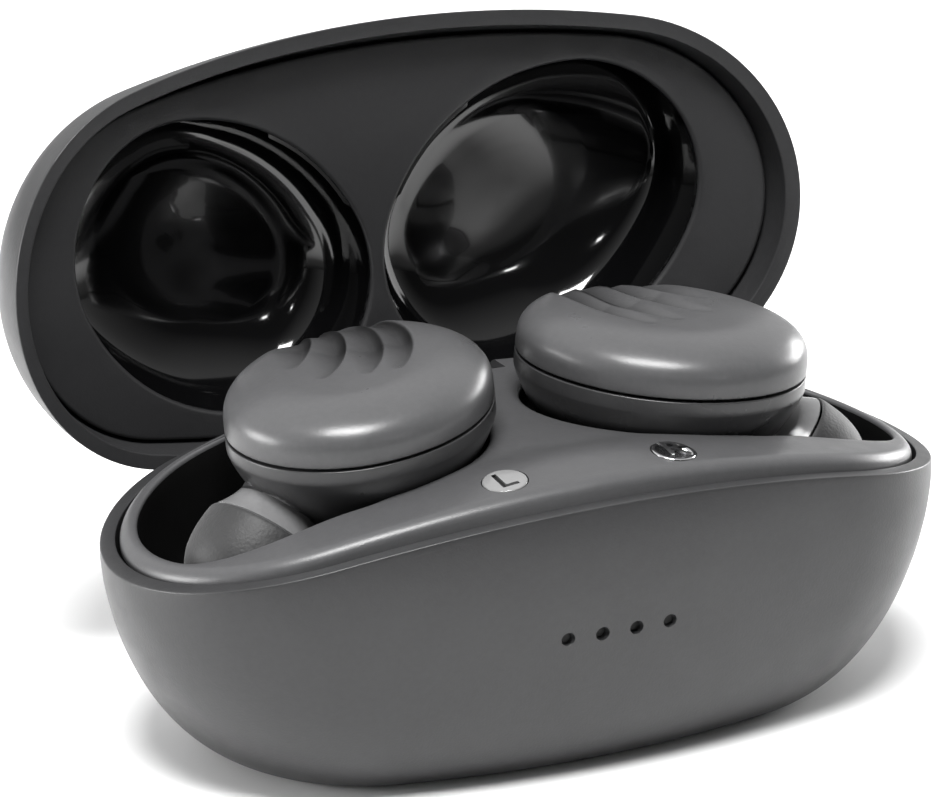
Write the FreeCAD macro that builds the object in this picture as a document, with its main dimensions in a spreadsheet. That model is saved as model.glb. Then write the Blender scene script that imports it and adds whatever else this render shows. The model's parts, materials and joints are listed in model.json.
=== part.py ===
import FreeCAD, Part
import math
import os
import Sketcher

# A charging case for two wireless earbuds, with both earbuds in their nests and the lid open.
# Millimetres. +X runs along the case, +Y to the hinge side, +Z up; the origin is the centre of
# the flat underside. The lid is drawn closed and then turned back about its hinge pin.

DIMENSIONS = {
    # Outside form: a pebble whose plan is an oval of four tangent arcs.
    "case_length": 80, "case_depth": 41.7, "end_radius": 18.26, "case_height": 39.4,
    "widest_height": 19.8, "base_end_inset": 14.1, "base_side_inset": 7.7,
    "lid_end_inset": 22, "lid_side_inset": 12.5, "wall_thickness": 1.4,
    # Split line: arched along the case and falling towards the hinge.
    "split_height": 26.3, "split_radius": 131, "split_tilt": 2.58, "split_gap": 0.25,
    # Tray that holds the earbuds.
    "tray_offset": 1.8, "tray_wall": 1.2, "deck_rise": 1.7, "deck_radius": 112,
    "tray_underside": -0.1, "skirt_bottom": 20, "ledge_bottom": 18.2, "ledge_offset": 2.3,
    "nest_clearance": 0.45, "nest_wall": 1, "nest_floor": 18.4, "tip_pocket_floor": 12.2,
    "tip_pocket_offset": 3.4, "tip_pocket_front": -9.6, "well_shift": 0.5, "post_radius": 1.5,
    # Hinge.
    "hinge_back": 18.6, "hinge_height": 19.06, "open_angle": 96.5, "pin_radius": 0.8,
    "pin_clearance": 0.05, "pin_half_length": 8.2, "knuckle_radius": 2.15, "arm_half_width": 5.4,
    "notch_half_width": 5.8, "ear_inner": 6.1, "ear_outer": 8.1, "ear_radius": 1.9,
    # Lid lining.
    "liner_lift": 2.1, "liner_thickness": 1, "cup_x": 16.3, "cup_y": 0.9,
    "cup_half_length": 16.3, "cup_half_width": 13, "cup_spring": 29.5, "cup_crown": 37.2,
    "cup_inset": 7, "cup_wall": 0.7,
    # Earbud, in its own frame at the middle of its parting line.
    "bud_x": 15.1, "bud_y": 1.8, "bud_z": 30.3, "bud_turn": 33, "bud_tilt": 8.5,
    "bud_half_length": 13.4, "bud_half_width": 11.8, "cap_height": 5.3, "housing_depth": 10.4,
    "parting_gap": 0.3, "bud_wall": 0.9, "plate_thickness": 0.7, "nozzle_slope": 43.5,
    "nozzle_yaw": 22, "nozzle_out": 2.8, "nozzle_drop": 0.6, "stem_start": 5.2,
    "stem_radius": 4.7, "collar_radius": 5.6, "collar_end": 11.3, "nozzle_radius": 2.6,
    "nozzle_end": 18.3, "tip_radius": 6, "tip_end": 19.9,
    # Electronics.
    "board_bottom": 7.6, "board_thickness": 0.8, "usb_height": 10, "led_height": 15.1,
    "led_pitch": 3.39, "led_hole_radius": 0.55, "mark_x": 8.4,
    "mark_y": -15, "mark_radius": 2.05,
}

doc = FreeCAD.newDocument("EarbudsCase")
sheet = doc.addObject("Spreadsheet::Sheet", "Sizes")
for row, (alias, number) in enumerate(DIMENSIONS.items(), 1):
    sheet.set(f"A{row}", alias)
    sheet.set(f"B{row}", str(number))
    sheet.setAlias(f"B{row}", alias)
doc.recompute()


class Size:
    """A length that knows both its value and the sheet expression it comes from."""

    def __init__(self, value, text):
        self.value = float(value)
        self.text = text

    def __add__(self, other):
        other = size(other)
        return Size(self.value + other.value, f"({self.text} + {other.text})")

    def __sub__(self, other):
        other = size(other)
        return Size(self.value - other.value, f"({self.text} - {other.text})")

    def __mul__(self, other):
        other = size(other)
        return Size(self.value * other.value, f"({self.text} * {other.text})")

    def __truediv__(self, other):
        other = size(other)
        return Size(self.value / other.value, f"({self.text} / {other.text})")

    def __neg__(self):
        return Size(-self.value, f"(0 - {self.text})")

    def __radd__(self, other):
        return size(other) + self

    def __rsub__(self, other):
        return size(other) - self

    def __rmul__(self, other):
        return size(other) * self


def size(number):
    """A plain number as a Size."""
    return number if isinstance(number, Size) else Size(number, f"({number:.6f})")


class Named:
    """Every sheet value as a Size attribute."""


d = Named()
for alias, number in DIMENSIONS.items():
    setattr(d, alias, Size(number, f"Sizes.{alias}"))

VECTOR = FreeCAD.Vector
X_AXIS, Y_AXIS, Z_AXIS = VECTOR(1, 0, 0), VECTOR(0, 1, 0), VECTOR(0, 0, 1)
parts = {}


# ---- drawing helpers -------------------------------------------------------------------------


def bind(obj, prop, length):
    """Ties one property to its sheet expression."""
    obj.setExpression(prop, size(length).text)


def turned(obj, axis, angle):
    """Turns an object about an axis through its own base point."""
    placement = obj.Placement
    placement.Rotation = FreeCAD.Rotation(axis, angle)
    obj.Placement = placement
    return obj


def at(obj, x, y, z):
    """Places an object's base point."""
    for name, length in zip("xyz", (x, y, z)):
        bind(obj, f"Placement.Base.{name}", length)
    return obj


def block(name, x, y, z):
    """A box between low and high limits on each axis."""
    obj = doc.addObject("Part::Box", name)
    for prop, (low, high) in zip(("Length", "Width", "Height"), (x, y, z)):
        bind(obj, prop, size(high) - low)
    return at(obj, x[0], y[0], z[0])


def rod(name, radius, length, start, axis=Z_AXIS):
    """A cylinder from its start point along an axis."""
    obj = doc.addObject("Part::Cylinder", name)
    bind(obj, "Radius", radius)
    bind(obj, "Height", length)
    placement = FreeCAD.Placement(VECTOR(), FreeCAD.Rotation(Z_AXIS, axis))
    obj.Placement = placement
    return at(obj, *start)


def cone(name, radius, far_radius, length, start, axis=Z_AXIS):
    """A cone frustum from its start point along an axis."""
    obj = doc.addObject("Part::Cone", name)
    bind(obj, "Radius1", radius)
    bind(obj, "Radius2", far_radius)
    bind(obj, "Height", length)
    obj.Placement = FreeCAD.Placement(VECTOR(), FreeCAD.Rotation(Z_AXIS, axis))
    return at(obj, *start)


def join(name, *shapes):
    obj = doc.addObject("Part::MultiFuse", name)
    obj.Shapes = list(shapes)
    return obj


def overlap(name, *shapes):
    obj = doc.addObject("Part::MultiCommon", name)
    obj.Shapes = list(shapes)
    return obj


def cut(name, base, *tools):
    """Takes one or more tools away from a base."""
    obj = doc.addObject("Part::Cut", name)
    obj.Base = base
    obj.Tool = tools[0] if len(tools) == 1 else join(name + "_tools", *tools)
    return obj


def mirror(name, source):
    """The same piece on the other side of the case."""
    obj = doc.addObject("Part::Mirroring", name)
    obj.Source = source
    obj.Normal = X_AXIS
    return obj


def part(node, obj):
    """Keeps an object as a sub-part under its node name."""
    obj.Label = node
    parts[node] = obj
    return obj


def origin_plane(body, role):
    return next(f for f in body.Origin.OriginFeatures if f.Role == role)


def new_sketch(body, name, role):
    sketch = body.newObject("Sketcher::SketchObject", name)
    sketch.AttachmentSupport = [(origin_plane(body, role), "")]
    sketch.MapMode = "FlatFace"
    return sketch


def dimension(sketch, kind, *geometry, length):
    """Adds a sketch dimension and ties it to the sheet."""
    index = sketch.addConstraint(Sketcher.Constraint(kind, *geometry, length.value))
    sketch.setExpression(f"Constraints[{index}]", length.text)


def oval_sketch(body, name, half_length, half_width, end_radius, height):
    """An oval of four tangent arcs, centred on the origin, at a height."""
    sketch = new_sketch(body, name, "XY_Plane")
    bind(sketch, "AttachmentOffset.Base.z", height)
    reach = half_length - end_radius
    side_radius = (reach * reach + half_width * half_width - end_radius * end_radius) / (
        2 * (half_width - end_radius)
    )
    drop = side_radius - half_width
    join_angle = math.atan2(drop.value, reach.value)
    arcs = (
        (reach.value, 0, end_radius.value, -join_angle, join_angle),
        (0, -drop.value, side_radius.value, join_angle, math.pi - join_angle),
        (-reach.value, 0, end_radius.value, math.pi - join_angle, math.pi + join_angle),
        (0, drop.value, side_radius.value, math.pi + join_angle, 2 * math.pi - join_angle),
    )
    for x, y, radius, start, end in arcs:
        circle = Part.Circle(VECTOR(x, y, 0), Z_AXIS, radius)
        sketch.addGeometry(Part.ArcOfCircle(circle, start, end), False)
    for arc in range(4):
        sketch.addConstraint(Sketcher.Constraint("Tangent", arc, 2, (arc + 1) % 4, 1))
    sketch.addConstraint(Sketcher.Constraint("Equal", 0, 2))
    sketch.addConstraint(Sketcher.Constraint("Equal", 1, 3))
    sketch.addConstraint(Sketcher.Constraint("PointOnObject", 0, 3, -1))
    sketch.addConstraint(Sketcher.Constraint("PointOnObject", 2, 3, -1))
    sketch.addConstraint(Sketcher.Constraint("PointOnObject", 1, 3, -2))
    dimension(sketch, "Radius", 0, length=end_radius)
    dimension(sketch, "Radius", 1, length=side_radius)
    dimension(sketch, "DistanceX", -1, 1, 0, 3, length=reach)
    return sketch


def loft(name, sections):
    """A body lofted through ovals, each (half length, half width, end radius, height)."""
    body = doc.addObject("PartDesign::Body", name)
    sketches = [
        oval_sketch(body, f"{name}_oval{number}", *section)
        for number, section in enumerate(sections)
    ]
    feature = body.newObject("PartDesign::AdditiveLoft", name + "_loft")
    feature.Profile = sketches[0]
    feature.Sections = sketches[1:]
    return body


def oval_pad(name, half_length, half_width, end_radius, low, high):
    """An upright oval prism."""
    body = doc.addObject("PartDesign::Body", name)
    sketch = oval_sketch(body, name + "_oval", half_length, half_width, end_radius, size(low))
    pad = body.newObject("PartDesign::Pad", name + "_pad")
    pad.Profile = sketch
    bind(pad, "Length", size(high) - low)
    return body


def revolve(name, points, placement=None):
    """A ring or solid of revolution about the body's Z axis from (radius, height) points."""
    body = doc.addObject("PartDesign::Body", name)
    sketch = new_sketch(body, name + "_profile", "XZ_Plane")
    corners = [VECTOR(size(r).value, size(z).value, 0) for r, z in points]
    count = len(corners)
    for number in range(count):
        line = Part.LineSegment(corners[number], corners[(number + 1) % count])
        sketch.addGeometry(line, False)
    for number in range(count):
        sketch.addConstraint(
            Sketcher.Constraint("Coincident", number, 2, (number + 1) % count, 1)
        )
    for number, (r, z) in enumerate(points):
        dimension(sketch, "DistanceX", -1, 1, number, 1, length=size(r))
        dimension(sketch, "DistanceY", -1, 1, number, 1, length=size(z))
    turn = body.newObject("PartDesign::Revolution", name + "_turn")
    turn.Profile = sketch
    turn.ReferenceAxis = (sketch, ["V_Axis"])
    turn.Angle = 360
    if placement:
        body.Placement = placement
    return body


# ---- the case's outside form -----------------------------------------------------------------

HALF_LENGTH = d.case_length / 2
HALF_DEPTH = d.case_depth / 2
SECTION_STEP = 15
BASE_FULLNESS = 1.66
LID_FULLNESS = 2.4


def pebble(name, offset):
    """The outside form moved inwards by an offset: round below and above its widest line."""
    offset = size(offset)
    sections = []
    for angle in range(-90, 91, SECTION_STEP):
        below = angle < 0
        fullness = BASE_FULLNESS if below else LID_FULLNESS
        rise = math.sin(math.radians(abs(angle))) ** (2 / fullness)
        inset = 1 - math.cos(math.radians(angle))
        if below:
            height = d.widest_height - rise * (d.widest_height - offset)
            end_inset, side_inset = d.base_end_inset, d.base_side_inset
        else:
            height = d.widest_height + rise * (d.case_height - offset - d.widest_height)
            end_inset, side_inset = d.lid_end_inset, d.lid_side_inset
        half_width = HALF_DEPTH - inset * side_inset
        end_radius = half_width * d.end_radius / HALF_DEPTH - offset
        sections.append(
            (HALF_LENGTH - inset * end_inset - offset, half_width - offset, end_radius, height)
        )
    return loft(name, sections)


def arch_block(name, lift, radius=None):
    """Everything below the arched split surface moved up by a lift, or below a rounder arch."""
    body = doc.addObject("PartDesign::Body", name)
    sketch = new_sketch(body, name + "_arch", "XZ_Plane")
    side = HALF_LENGTH + 5
    floor = size(-5)
    radius = radius or d.split_radius + lift
    centre = d.split_height + lift - radius
    half_angle = math.asin(side.value / radius.value)
    top = Part.ArcOfCircle(
        Part.Circle(VECTOR(0, centre.value, 0), Z_AXIS, radius.value),
        math.pi / 2 - half_angle,
        math.pi / 2 + half_angle,
    )
    shoulder = centre.value + radius.value * math.cos(half_angle)
    corners = (
        VECTOR(-side.value, shoulder, 0),
        VECTOR(-side.value, floor.value, 0),
        VECTOR(side.value, floor.value, 0),
        VECTOR(side.value, shoulder, 0),
    )
    sketch.addGeometry(top, False)
    for start, end in zip(corners, corners[1:]):
        sketch.addGeometry(Part.LineSegment(start, end), False)
    sketch.addConstraint(Sketcher.Constraint("Coincident", 0, 2, 1, 1))
    sketch.addConstraint(Sketcher.Constraint("Coincident", 1, 2, 2, 1))
    sketch.addConstraint(Sketcher.Constraint("Coincident", 2, 2, 3, 1))
    sketch.addConstraint(Sketcher.Constraint("Coincident", 3, 2, 0, 1))
    sketch.addConstraint(Sketcher.Constraint("Vertical", 1))
    sketch.addConstraint(Sketcher.Constraint("Vertical", 3))
    sketch.addConstraint(Sketcher.Constraint("Horizontal", 2))
    sketch.addConstraint(Sketcher.Constraint("PointOnObject", 0, 3, -2))
    dimension(sketch, "Radius", 0, length=radius)
    dimension(sketch, "DistanceY", -1, 1, 0, 3, length=centre)
    dimension(sketch, "DistanceY", -1, 1, 2, 1, length=floor)
    dimension(sketch, "DistanceX", -1, 1, 2, 1, length=-side)
    dimension(sketch, "DistanceX", -1, 1, 2, 2, length=side)
    pad = body.newObject("PartDesign::Pad", name + "_pad")
    pad.Profile = sketch
    pad.Midplane = True
    bind(pad, "Length", d.case_depth + 12)
    return turned(body, X_AXIS, -d.split_tilt.value)


def deck_z(x, y):
    """Height of the tray's deck at a point in plan."""
    sag = d.deck_radius.value - math.sqrt(d.deck_radius.value**2 - x * x)
    crown = d.split_height.value + d.deck_rise.value
    return crown - sag - y * math.tan(math.radians(d.split_tilt.value))


outer_form = pebble("outer_form", 0)
inner_form = pebble("inner_form", d.wall_thickness)
tray_form = pebble("tray_form", d.tray_offset)
tray_inner_form = pebble("tray_inner_form", d.tray_offset + d.tray_wall)
below_split = arch_block("below_split", size(0))
below_lid = arch_block("below_lid", d.split_gap)
below_deck = arch_block("below_deck", d.deck_rise, d.deck_radius)
below_tray = arch_block("below_tray", d.tray_underside)
below_liner = arch_block("below_liner", d.liner_lift)
below_liner_top = arch_block("below_liner_top", d.liner_lift + d.liner_thickness)

# ---- base shell ------------------------------------------------------------------------------

FAR = 60
PIN_Y, PIN_Z = d.hinge_back, d.hinge_height
POST_X, POST_Y, POST_TOP = size(11), size(14.5), size(12.8)
SCREW_RADIUS = size(0.7)
USB_HALF_WIDTH, USB_RADIUS = size(4.47), size(1.6)


def slot(name, half_width, radius, low_y, high_y):
    """A flat-oval prism along Y at the charging socket's height."""
    straight = half_width - radius
    middle = block(
        name + "_middle",
        (-straight, straight),
        (low_y, high_y),
        (d.usb_height - radius, d.usb_height + radius),
    )
    length = size(high_y) - low_y
    ends = [
        rod(f"{name}_end{side}", radius, length, (side * straight, low_y, d.usb_height), Y_AXIS)
        for side in (-1, 1)
    ]
    return join(name, middle, *ends)


def pair(name, make):
    """Two like pieces, one each side of the middle."""
    return join(name, make(name + "_a", -1), make(name + "_b", 1))


hinge_posts = overlap(
    "hinge_posts",
    pair("post_rods", lambda n, s: rod(n, 2.2, POST_TOP - 1, (s * POST_X, POST_Y, size(1)))),
    outer_form,
)
ledge_slab = block("ledge_slab", (-FAR, FAR), (-FAR, FAR), (d.ledge_bottom, d.skirt_bottom))
ledge = cut(
    "ledge",
    overlap("ledge_outside", outer_form, ledge_slab),
    pebble("ledge_inside", d.ledge_offset),
)
hollow_base = cut("hollow_base", overlap("base_form", outer_form, below_split), inner_form)
led_holes = join(
    "led_holes",
    *[
        rod(
            f"led_hole{number}",
            d.led_hole_radius,
            4,
            ((number - 1.5) * d.led_pitch, size(-22), d.led_height),
            Y_AXIS,
        )
        for number in range(4)
    ],
)
arm_notch = block(
    "arm_notch", (-d.notch_half_width, d.notch_half_width), (14.9, 30), (PIN_Z - 2.5, 40)
)
ear_reliefs = pair(
    "ear_reliefs",
    lambda n, s: block(
        n,
        (min(s * 5.7, s * 8.3), max(s * 5.7, s * 8.3)),
        (12, PIN_Y + 1.7),
        (PIN_Z - 2.1, PIN_Z + 2.1),
    ),
)
screw_holes = pair(
    "post_screw_holes",
    lambda n, s: rod(n, SCREW_RADIUS, 5, (s * POST_X, POST_Y, POST_TOP - 4)),
)
usb_slot = slot("usb_slot", USB_HALF_WIDTH + 0.15, USB_RADIUS + 0.15, 15, 25)
part(
    "base_shell",
    cut(
        "base_shell_cut",
        join("base_solid", hollow_base, hinge_posts, ledge),
        led_holes,
        arm_notch,
        ear_reliefs,
        screw_holes,
        usb_slot,
    ),
)

# ---- tray with the two nests -----------------------------------------------------------------

tray_blank = overlap("tray_blank", tray_form, below_deck)
tray_hollow = overlap("tray_hollow", tray_inner_form, below_tray)
below_skirt = block("below_skirt", (-FAR, FAR), (-FAR, FAR), (-10, d.skirt_bottom))
tray_shell = cut("tray_shell", tray_blank, tray_hollow, below_skirt)

TIP_POCKET_X = size(-19.5)
POCKET_TOP = 45


def body_pocket(name, grow, floor):
    """The upright well around one earbud's body."""
    half_width = d.bud_half_width + grow
    well = oval_pad(
        name, d.bud_half_length + grow, half_width, half_width - 1.2, floor, POCKET_TOP
    )
    turned(well, Z_AXIS, d.bud_turn.value)
    return at(well, d.well_shift - d.bud_x, d.bud_y, 0)


def tip_pocket(name, grow, floor):
    """The deeper well around one ear tip, at the end of the case."""
    offset = d.tip_pocket_offset - grow
    prism = oval_pad(
        name + "_prism",
        HALF_LENGTH - offset,
        HALF_DEPTH - offset,
        d.end_radius - offset,
        floor,
        POCKET_TOP,
    )
    limits = block(
        name + "_limits",
        (-FAR, TIP_POCKET_X + grow),
        (d.tip_pocket_front - grow, FAR),
        (0, POCKET_TOP),
    )
    return overlap(name, prism, limits)


nest_hollow_left = join(
    "nest_hollow_left",
    body_pocket("well", d.nest_clearance, d.nest_floor),
    tip_pocket("tip_well", size(0), d.tip_pocket_floor),
)
nest_outside_left = join(
    "nest_outside_left",
    body_pocket("well_wall", d.nest_clearance + d.nest_wall, d.nest_floor - d.nest_wall),
    tip_pocket("tip_well_wall", d.nest_wall, d.tip_pocket_floor - d.nest_wall),
)
nest_outside_right = mirror("nest_outside_right", nest_outside_left)
nest_hollow_right = mirror("nest_hollow_right", nest_hollow_left)
nests = overlap("nests", join("nest_walls", nest_outside_left, nest_outside_right), tray_blank)

BOARD_TOP = d.board_bottom + d.board_thickness
BOARD_POSTS = ((-5, -10.5), (5, -10.5), (0, 10.5))
tray_posts = overlap(
    "tray_posts",
    join(
        "tray_post_rods",
        *[
            rod(f"tray_post{n}", d.post_radius, 20, (size(x), size(y), BOARD_TOP))
            for n, (x, y) in enumerate(BOARD_POSTS)
        ],
    ),
    tray_blank,
)
board_screw_holes = join(
    "board_screw_holes",
    *[
        rod(f"board_screw_hole{n}", SCREW_RADIUS, 6, (size(x), size(y), size(5)))
        for n, (x, y) in enumerate(BOARD_POSTS)
    ],
)

# Side marks: round inlays that lie in the deck.
MARK_DEPTH = 0.6
MARK_TURN = math.degrees(math.asin(d.mark_x.value / d.deck_radius.value))


def mark_placement():
    """The left mark's frame: on the deck, square to it."""
    x, y = -d.mark_x.value, d.mark_y.value
    lean = FreeCAD.Rotation(X_AXIS, -d.split_tilt.value)
    slope = FreeCAD.Rotation(Y_AXIS, -MARK_TURN)
    return FreeCAD.Placement(VECTOR(x, y, deck_z(x, y)), lean * slope)


def on_mark(obj, low):
    """Moves a piece drawn about the origin into the left mark's frame."""
    obj.Placement = mark_placement() * FreeCAD.Placement(VECTOR(0, 0, low), FreeCAD.Rotation())
    return obj


def mark_rod(name, radius, low, high):
    obj = doc.addObject("Part::Cylinder", name)
    bind(obj, "Radius", radius)
    obj.Height = high - low
    return on_mark(obj, low)


mark_recess = mark_rod("mark_recess", d.mark_radius, -MARK_DEPTH, 2)
mark_recess_right = mirror("mark_recess_right", mark_recess)

POGO_SPOTS = ((-1.5, 1.9), (-1.5, -1.9))
BUD_PLACE = FreeCAD.Placement(
    VECTOR(-d.bud_x.value, d.bud_y.value, d.bud_z.value),
    FreeCAD.Rotation(Y_AXIS, -d.bud_tilt.value) * FreeCAD.Rotation(Z_AXIS, d.bud_turn.value),
)
PAD_FACE = d.housing_depth.value + 0.05


def pogo_centre(number):
    """Where one charging contact's face meets its spring pin."""
    x, y = POGO_SPOTS[number]
    return BUD_PLACE.multVec(VECTOR(x, y, -PAD_FACE))


BARREL_RADIUS = size(0.85)
BARREL_BOTTOM = d.nest_floor - 2.6


def pogo_rod(name, number, radius, low, high):
    spot = pogo_centre(number)
    return rod(name, radius, size(high) - low, (size(spot.x), size(spot.y), size(low)))


barrel_rods = [
    pogo_rod(f"barrel_rod{n}", n, BARREL_RADIUS, BARREL_BOTTOM, d.nest_floor) for n in (0, 1)
]
barrel_holes = join("barrel_holes", *barrel_rods)
barrel_holes_right = mirror("barrel_holes_right", barrel_holes)
ear_room = block("ear_room", (-10, 10), (12.8, 30), (0, PIN_Z + 2.6))
arm_room = block("arm_room", (-d.notch_half_width, d.notch_half_width), (14.9, 30), (0, 40))
part(
    "cradle",
    cut(
        "cradle_cut",
        join("cradle_solid", tray_shell, nests, tray_posts),
        nest_hollow_left,
        nest_hollow_right,
        board_screw_holes,
        mark_recess,
        mark_recess_right,
        barrel_holes,
        barrel_holes_right,
        ear_room,
        arm_room,
    ),
)

# ---- side marks ------------------------------------------------------------------------------

GROOVE_LOW, GROOVE_HIGH, STROKE = -0.15, 1, 0.36


def stroke(name, x, y):
    """One straight engraved stroke, in the left mark's frame."""
    obj = doc.addObject("Part::Box", name)
    obj.Length, obj.Width, obj.Height = x[1] - x[0], y[1] - y[0], GROOVE_HIGH - GROOVE_LOW
    obj.Placement = mark_placement() * FreeCAD.Placement(
        VECTOR(x[0], y[0], GROOVE_LOW), FreeCAD.Rotation()
    )
    return obj


part(
    "side_mark_left",
    cut(
        "mark_left_cut",
        mark_rod("mark_left_disc", d.mark_radius, -MARK_DEPTH, 0.05),
        stroke("letter_l_stem", (-0.6, -0.6 + STROKE), (-1.1, 1.1)),
        stroke("letter_l_foot", (-0.6, 0.8), (-1.1, -1.1 + STROKE)),
    ),
)
bowl_ring = cut(
    "letter_r_bowl",
    on_mark(doc.addObject("Part::Cylinder", "letter_r_outer"), GROOVE_LOW),
    on_mark(doc.addObject("Part::Cylinder", "letter_r_inner"), GROOVE_LOW),
)
for ring, radius in ((bowl_ring.Base, 0.65), (bowl_ring.Tool, 0.65 - STROKE)):
    ring.Radius = radius
    ring.Height = GROOVE_HIGH - GROOVE_LOW
    ring.Placement = ring.Placement * FreeCAD.Placement(VECTOR(0, 0.45, 0), FreeCAD.Rotation())
leg = stroke("letter_r_leg", (0, STROKE), (0, 1.4))
leg.Placement = leg.Placement * FreeCAD.Placement(
    VECTOR(-0.75, -1.05, 0), FreeCAD.Rotation(Z_AXIS, -28)
)
right_disc = cut(
    "mark_right_source",
    mark_rod("mark_right_disc", d.mark_radius, -MARK_DEPTH, 0.05),
    bowl_ring,
    leg,
    stroke("letter_r_stem", (0.45, 0.45 + STROKE), (-1.1, 1.1)),
)
part("side_mark_right", mirror("mark_right", right_disc))

# ---- hinge -----------------------------------------------------------------------------------

PIN_START = (-d.pin_half_length, PIN_Y, PIN_Z)
part("hinge_pin", rod("pin_rod", d.pin_radius, 2 * d.pin_half_length, PIN_START, X_AXIS))


def ear(name, side):
    low, high = (d.ear_inner, d.ear_outer) if side > 0 else (-d.ear_outer, -d.ear_inner)
    web_heights = (PIN_Z - d.ear_radius, PIN_Z + d.ear_radius)
    web = block(name + "_web", (low, high), (14, PIN_Y), web_heights)
    eye = rod(name + "_eye", d.ear_radius - 0.25, high - low, (low, PIN_Y, PIN_Z), X_AXIS)
    return join(name, web, eye)


FOOT_TOP = POST_TOP + 1.2
bracket_plate = block("bracket_plate", (-9, 9), (13.2, 14.4), (POST_TOP, 21))
feet = pair(
    "bracket_feet",
    lambda n, s: block(
        n, (min(s * 7.5, s * 13), max(s * 7.5, s * 13)), (12.4, 16.6), (POST_TOP, FOOT_TOP)
    ),
)
foot_holes = pair(
    "foot_holes", lambda n, s: rod(n, SCREW_RADIUS, 3, (s * POST_X, POST_Y, POST_TOP - 1))
)
bracket_solid = join("bracket_solid", bracket_plate, feet, ear("ear_a", -1), ear("ear_b", 1))
bracket_bore = rod("bracket_bore", d.pin_radius, 20, (size(-10), PIN_Y, PIN_Z), X_AXIS)
part("hinge_bracket", cut("bracket_cut", bracket_solid, bracket_bore, foot_holes))


def screw(name, x, y, seat, shank_end, up=True):
    """A small screw with a flat round head on its seat."""
    shank = abs(size(seat).value - size(shank_end).value)
    sign = 1 if up else -1
    axis = VECTOR(0, 0, sign)
    head_start = size(seat)
    head = rod(name + "_head", 1.25, 0.55, (x, y, head_start), axis)
    body = rod(name + "_shank", SCREW_RADIUS, shank, (x, y, head_start), -axis)
    return join(name, head, body)


part(
    "bracket_screws",
    pair("bracket_screw", lambda n, s: screw(n, s * POST_X, POST_Y, FOOT_TOP, POST_TOP - 3.5)),
)

# Arm of the lid: knuckle round the pin, a web up the back and a plate screwed to the lid.
ARM_X = (-d.arm_half_width, d.arm_half_width)
PLATE_Y, PLATE_TOP = (15.3, 16.6), 31.2
knuckle = rod(
    "arm_knuckle", d.knuckle_radius, 2 * d.arm_half_width, (-d.arm_half_width, PIN_Y, PIN_Z), X_AXIS
)
arm_web = block("arm_web", ARM_X, (PLATE_Y[0], 22), (PIN_Z, 25.3))
arm_web_inside = block("arm_web_inside", ARM_X, (10, 17.2), (15, PIN_Z + 3.2))
arm_plate = block("arm_plate", ARM_X, PLATE_Y, (24, PLATE_TOP))
arm_clip = overlap(
    "arm_clip",
    join(
        "arm_solid",
        knuckle,
        cut("arm_web_cut", arm_web, arm_web_inside),
        arm_plate,
    ),
    outer_form,
)
arm_bore = rod("arm_bore", d.pin_radius + d.pin_clearance, 14, (size(-7), PIN_Y, PIN_Z), X_AXIS)
ARM_SCREW_X, ARM_SCREW_Z, ARM_SCREW_END = size(3.2), size(29.3), 18.0
arm_screw_holes = pair(
    "arm_screw_holes",
    lambda n, s: rod(n, SCREW_RADIUS, 6, (s * ARM_SCREW_X, size(12.1), ARM_SCREW_Z), Y_AXIS),
)
hinge_arm = cut("arm_cut", arm_clip, arm_bore, arm_screw_holes)
boss_block = block("boss_block", ARM_X, (PLATE_Y[1], 19.5), (27.9, PLATE_TOP))
lid_boss = overlap("lid_boss", boss_block, pebble("boss_form", 0.5))
arm_screws = pair(
    "arm_screw_pair",
    lambda n, s: join(
        n,
        rod(n + "_head", 1.25, 0.55, (s * ARM_SCREW_X, size(PLATE_Y[0]), ARM_SCREW_Z), -Y_AXIS),
        rod(
            n + "_shank",
            SCREW_RADIUS,
            ARM_SCREW_END - PLATE_Y[0],
            (s * ARM_SCREW_X, size(PLATE_Y[0]), ARM_SCREW_Z),
            Y_AXIS,
        ),
    ),
)

# ---- lid -------------------------------------------------------------------------------------

lid_hollow = cut("lid_hollow", outer_form, below_lid, inner_form)
boss_holes = rod("boss_hole_a", SCREW_RADIUS, 3, (ARM_SCREW_X, size(15.1), ARM_SCREW_Z), Y_AXIS)
boss_holes_b = rod("boss_hole_b", SCREW_RADIUS, 3, (-ARM_SCREW_X, size(15.1), ARM_SCREW_Z), Y_AXIS)
NOTCH_X = (-d.notch_half_width, d.notch_half_width)
lid_arm_room = block("lid_arm_room", NOTCH_X, (10, 30), (15, 25.4))
lid_shell = cut(
    "lid_shell_cut",
    join("lid_solid", lid_hollow, lid_boss),
    boss_holes,
    boss_holes_b,
    lid_arm_room,
    block("plate_room", NOTCH_X, PLATE_Y, (25, PLATE_TOP + 0.3)),
)

CUP_ENTRY = 20
CUP_STEPS = 6
CUP_FULLNESS = 2.3
CUP_END_DROP = 1.3


def cup_form(name, grow):
    """A cup's shape: an upright oval that rounds over into a crown."""
    half_length = d.cup_half_length + grow
    half_width = d.cup_half_width + grow
    crown = d.cup_crown + grow
    sections = [(half_length, half_width, half_width - CUP_END_DROP, size(CUP_ENTRY))]
    for step in range(CUP_STEPS + 1):
        angle = math.radians(90 * step / CUP_STEPS)
        inset = d.cup_inset * (1 - math.cos(angle))
        rise = math.sin(angle) ** (2 / CUP_FULLNESS)
        width = half_width - inset
        height = d.cup_spring + rise * (crown - d.cup_spring)
        sections.append((half_length - inset, width, width - CUP_END_DROP, height))
    form = loft(name, sections)
    turned(form, Z_AXIS, d.bud_turn.value)
    return at(form, -d.cup_x, d.cup_y, 0)


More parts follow.
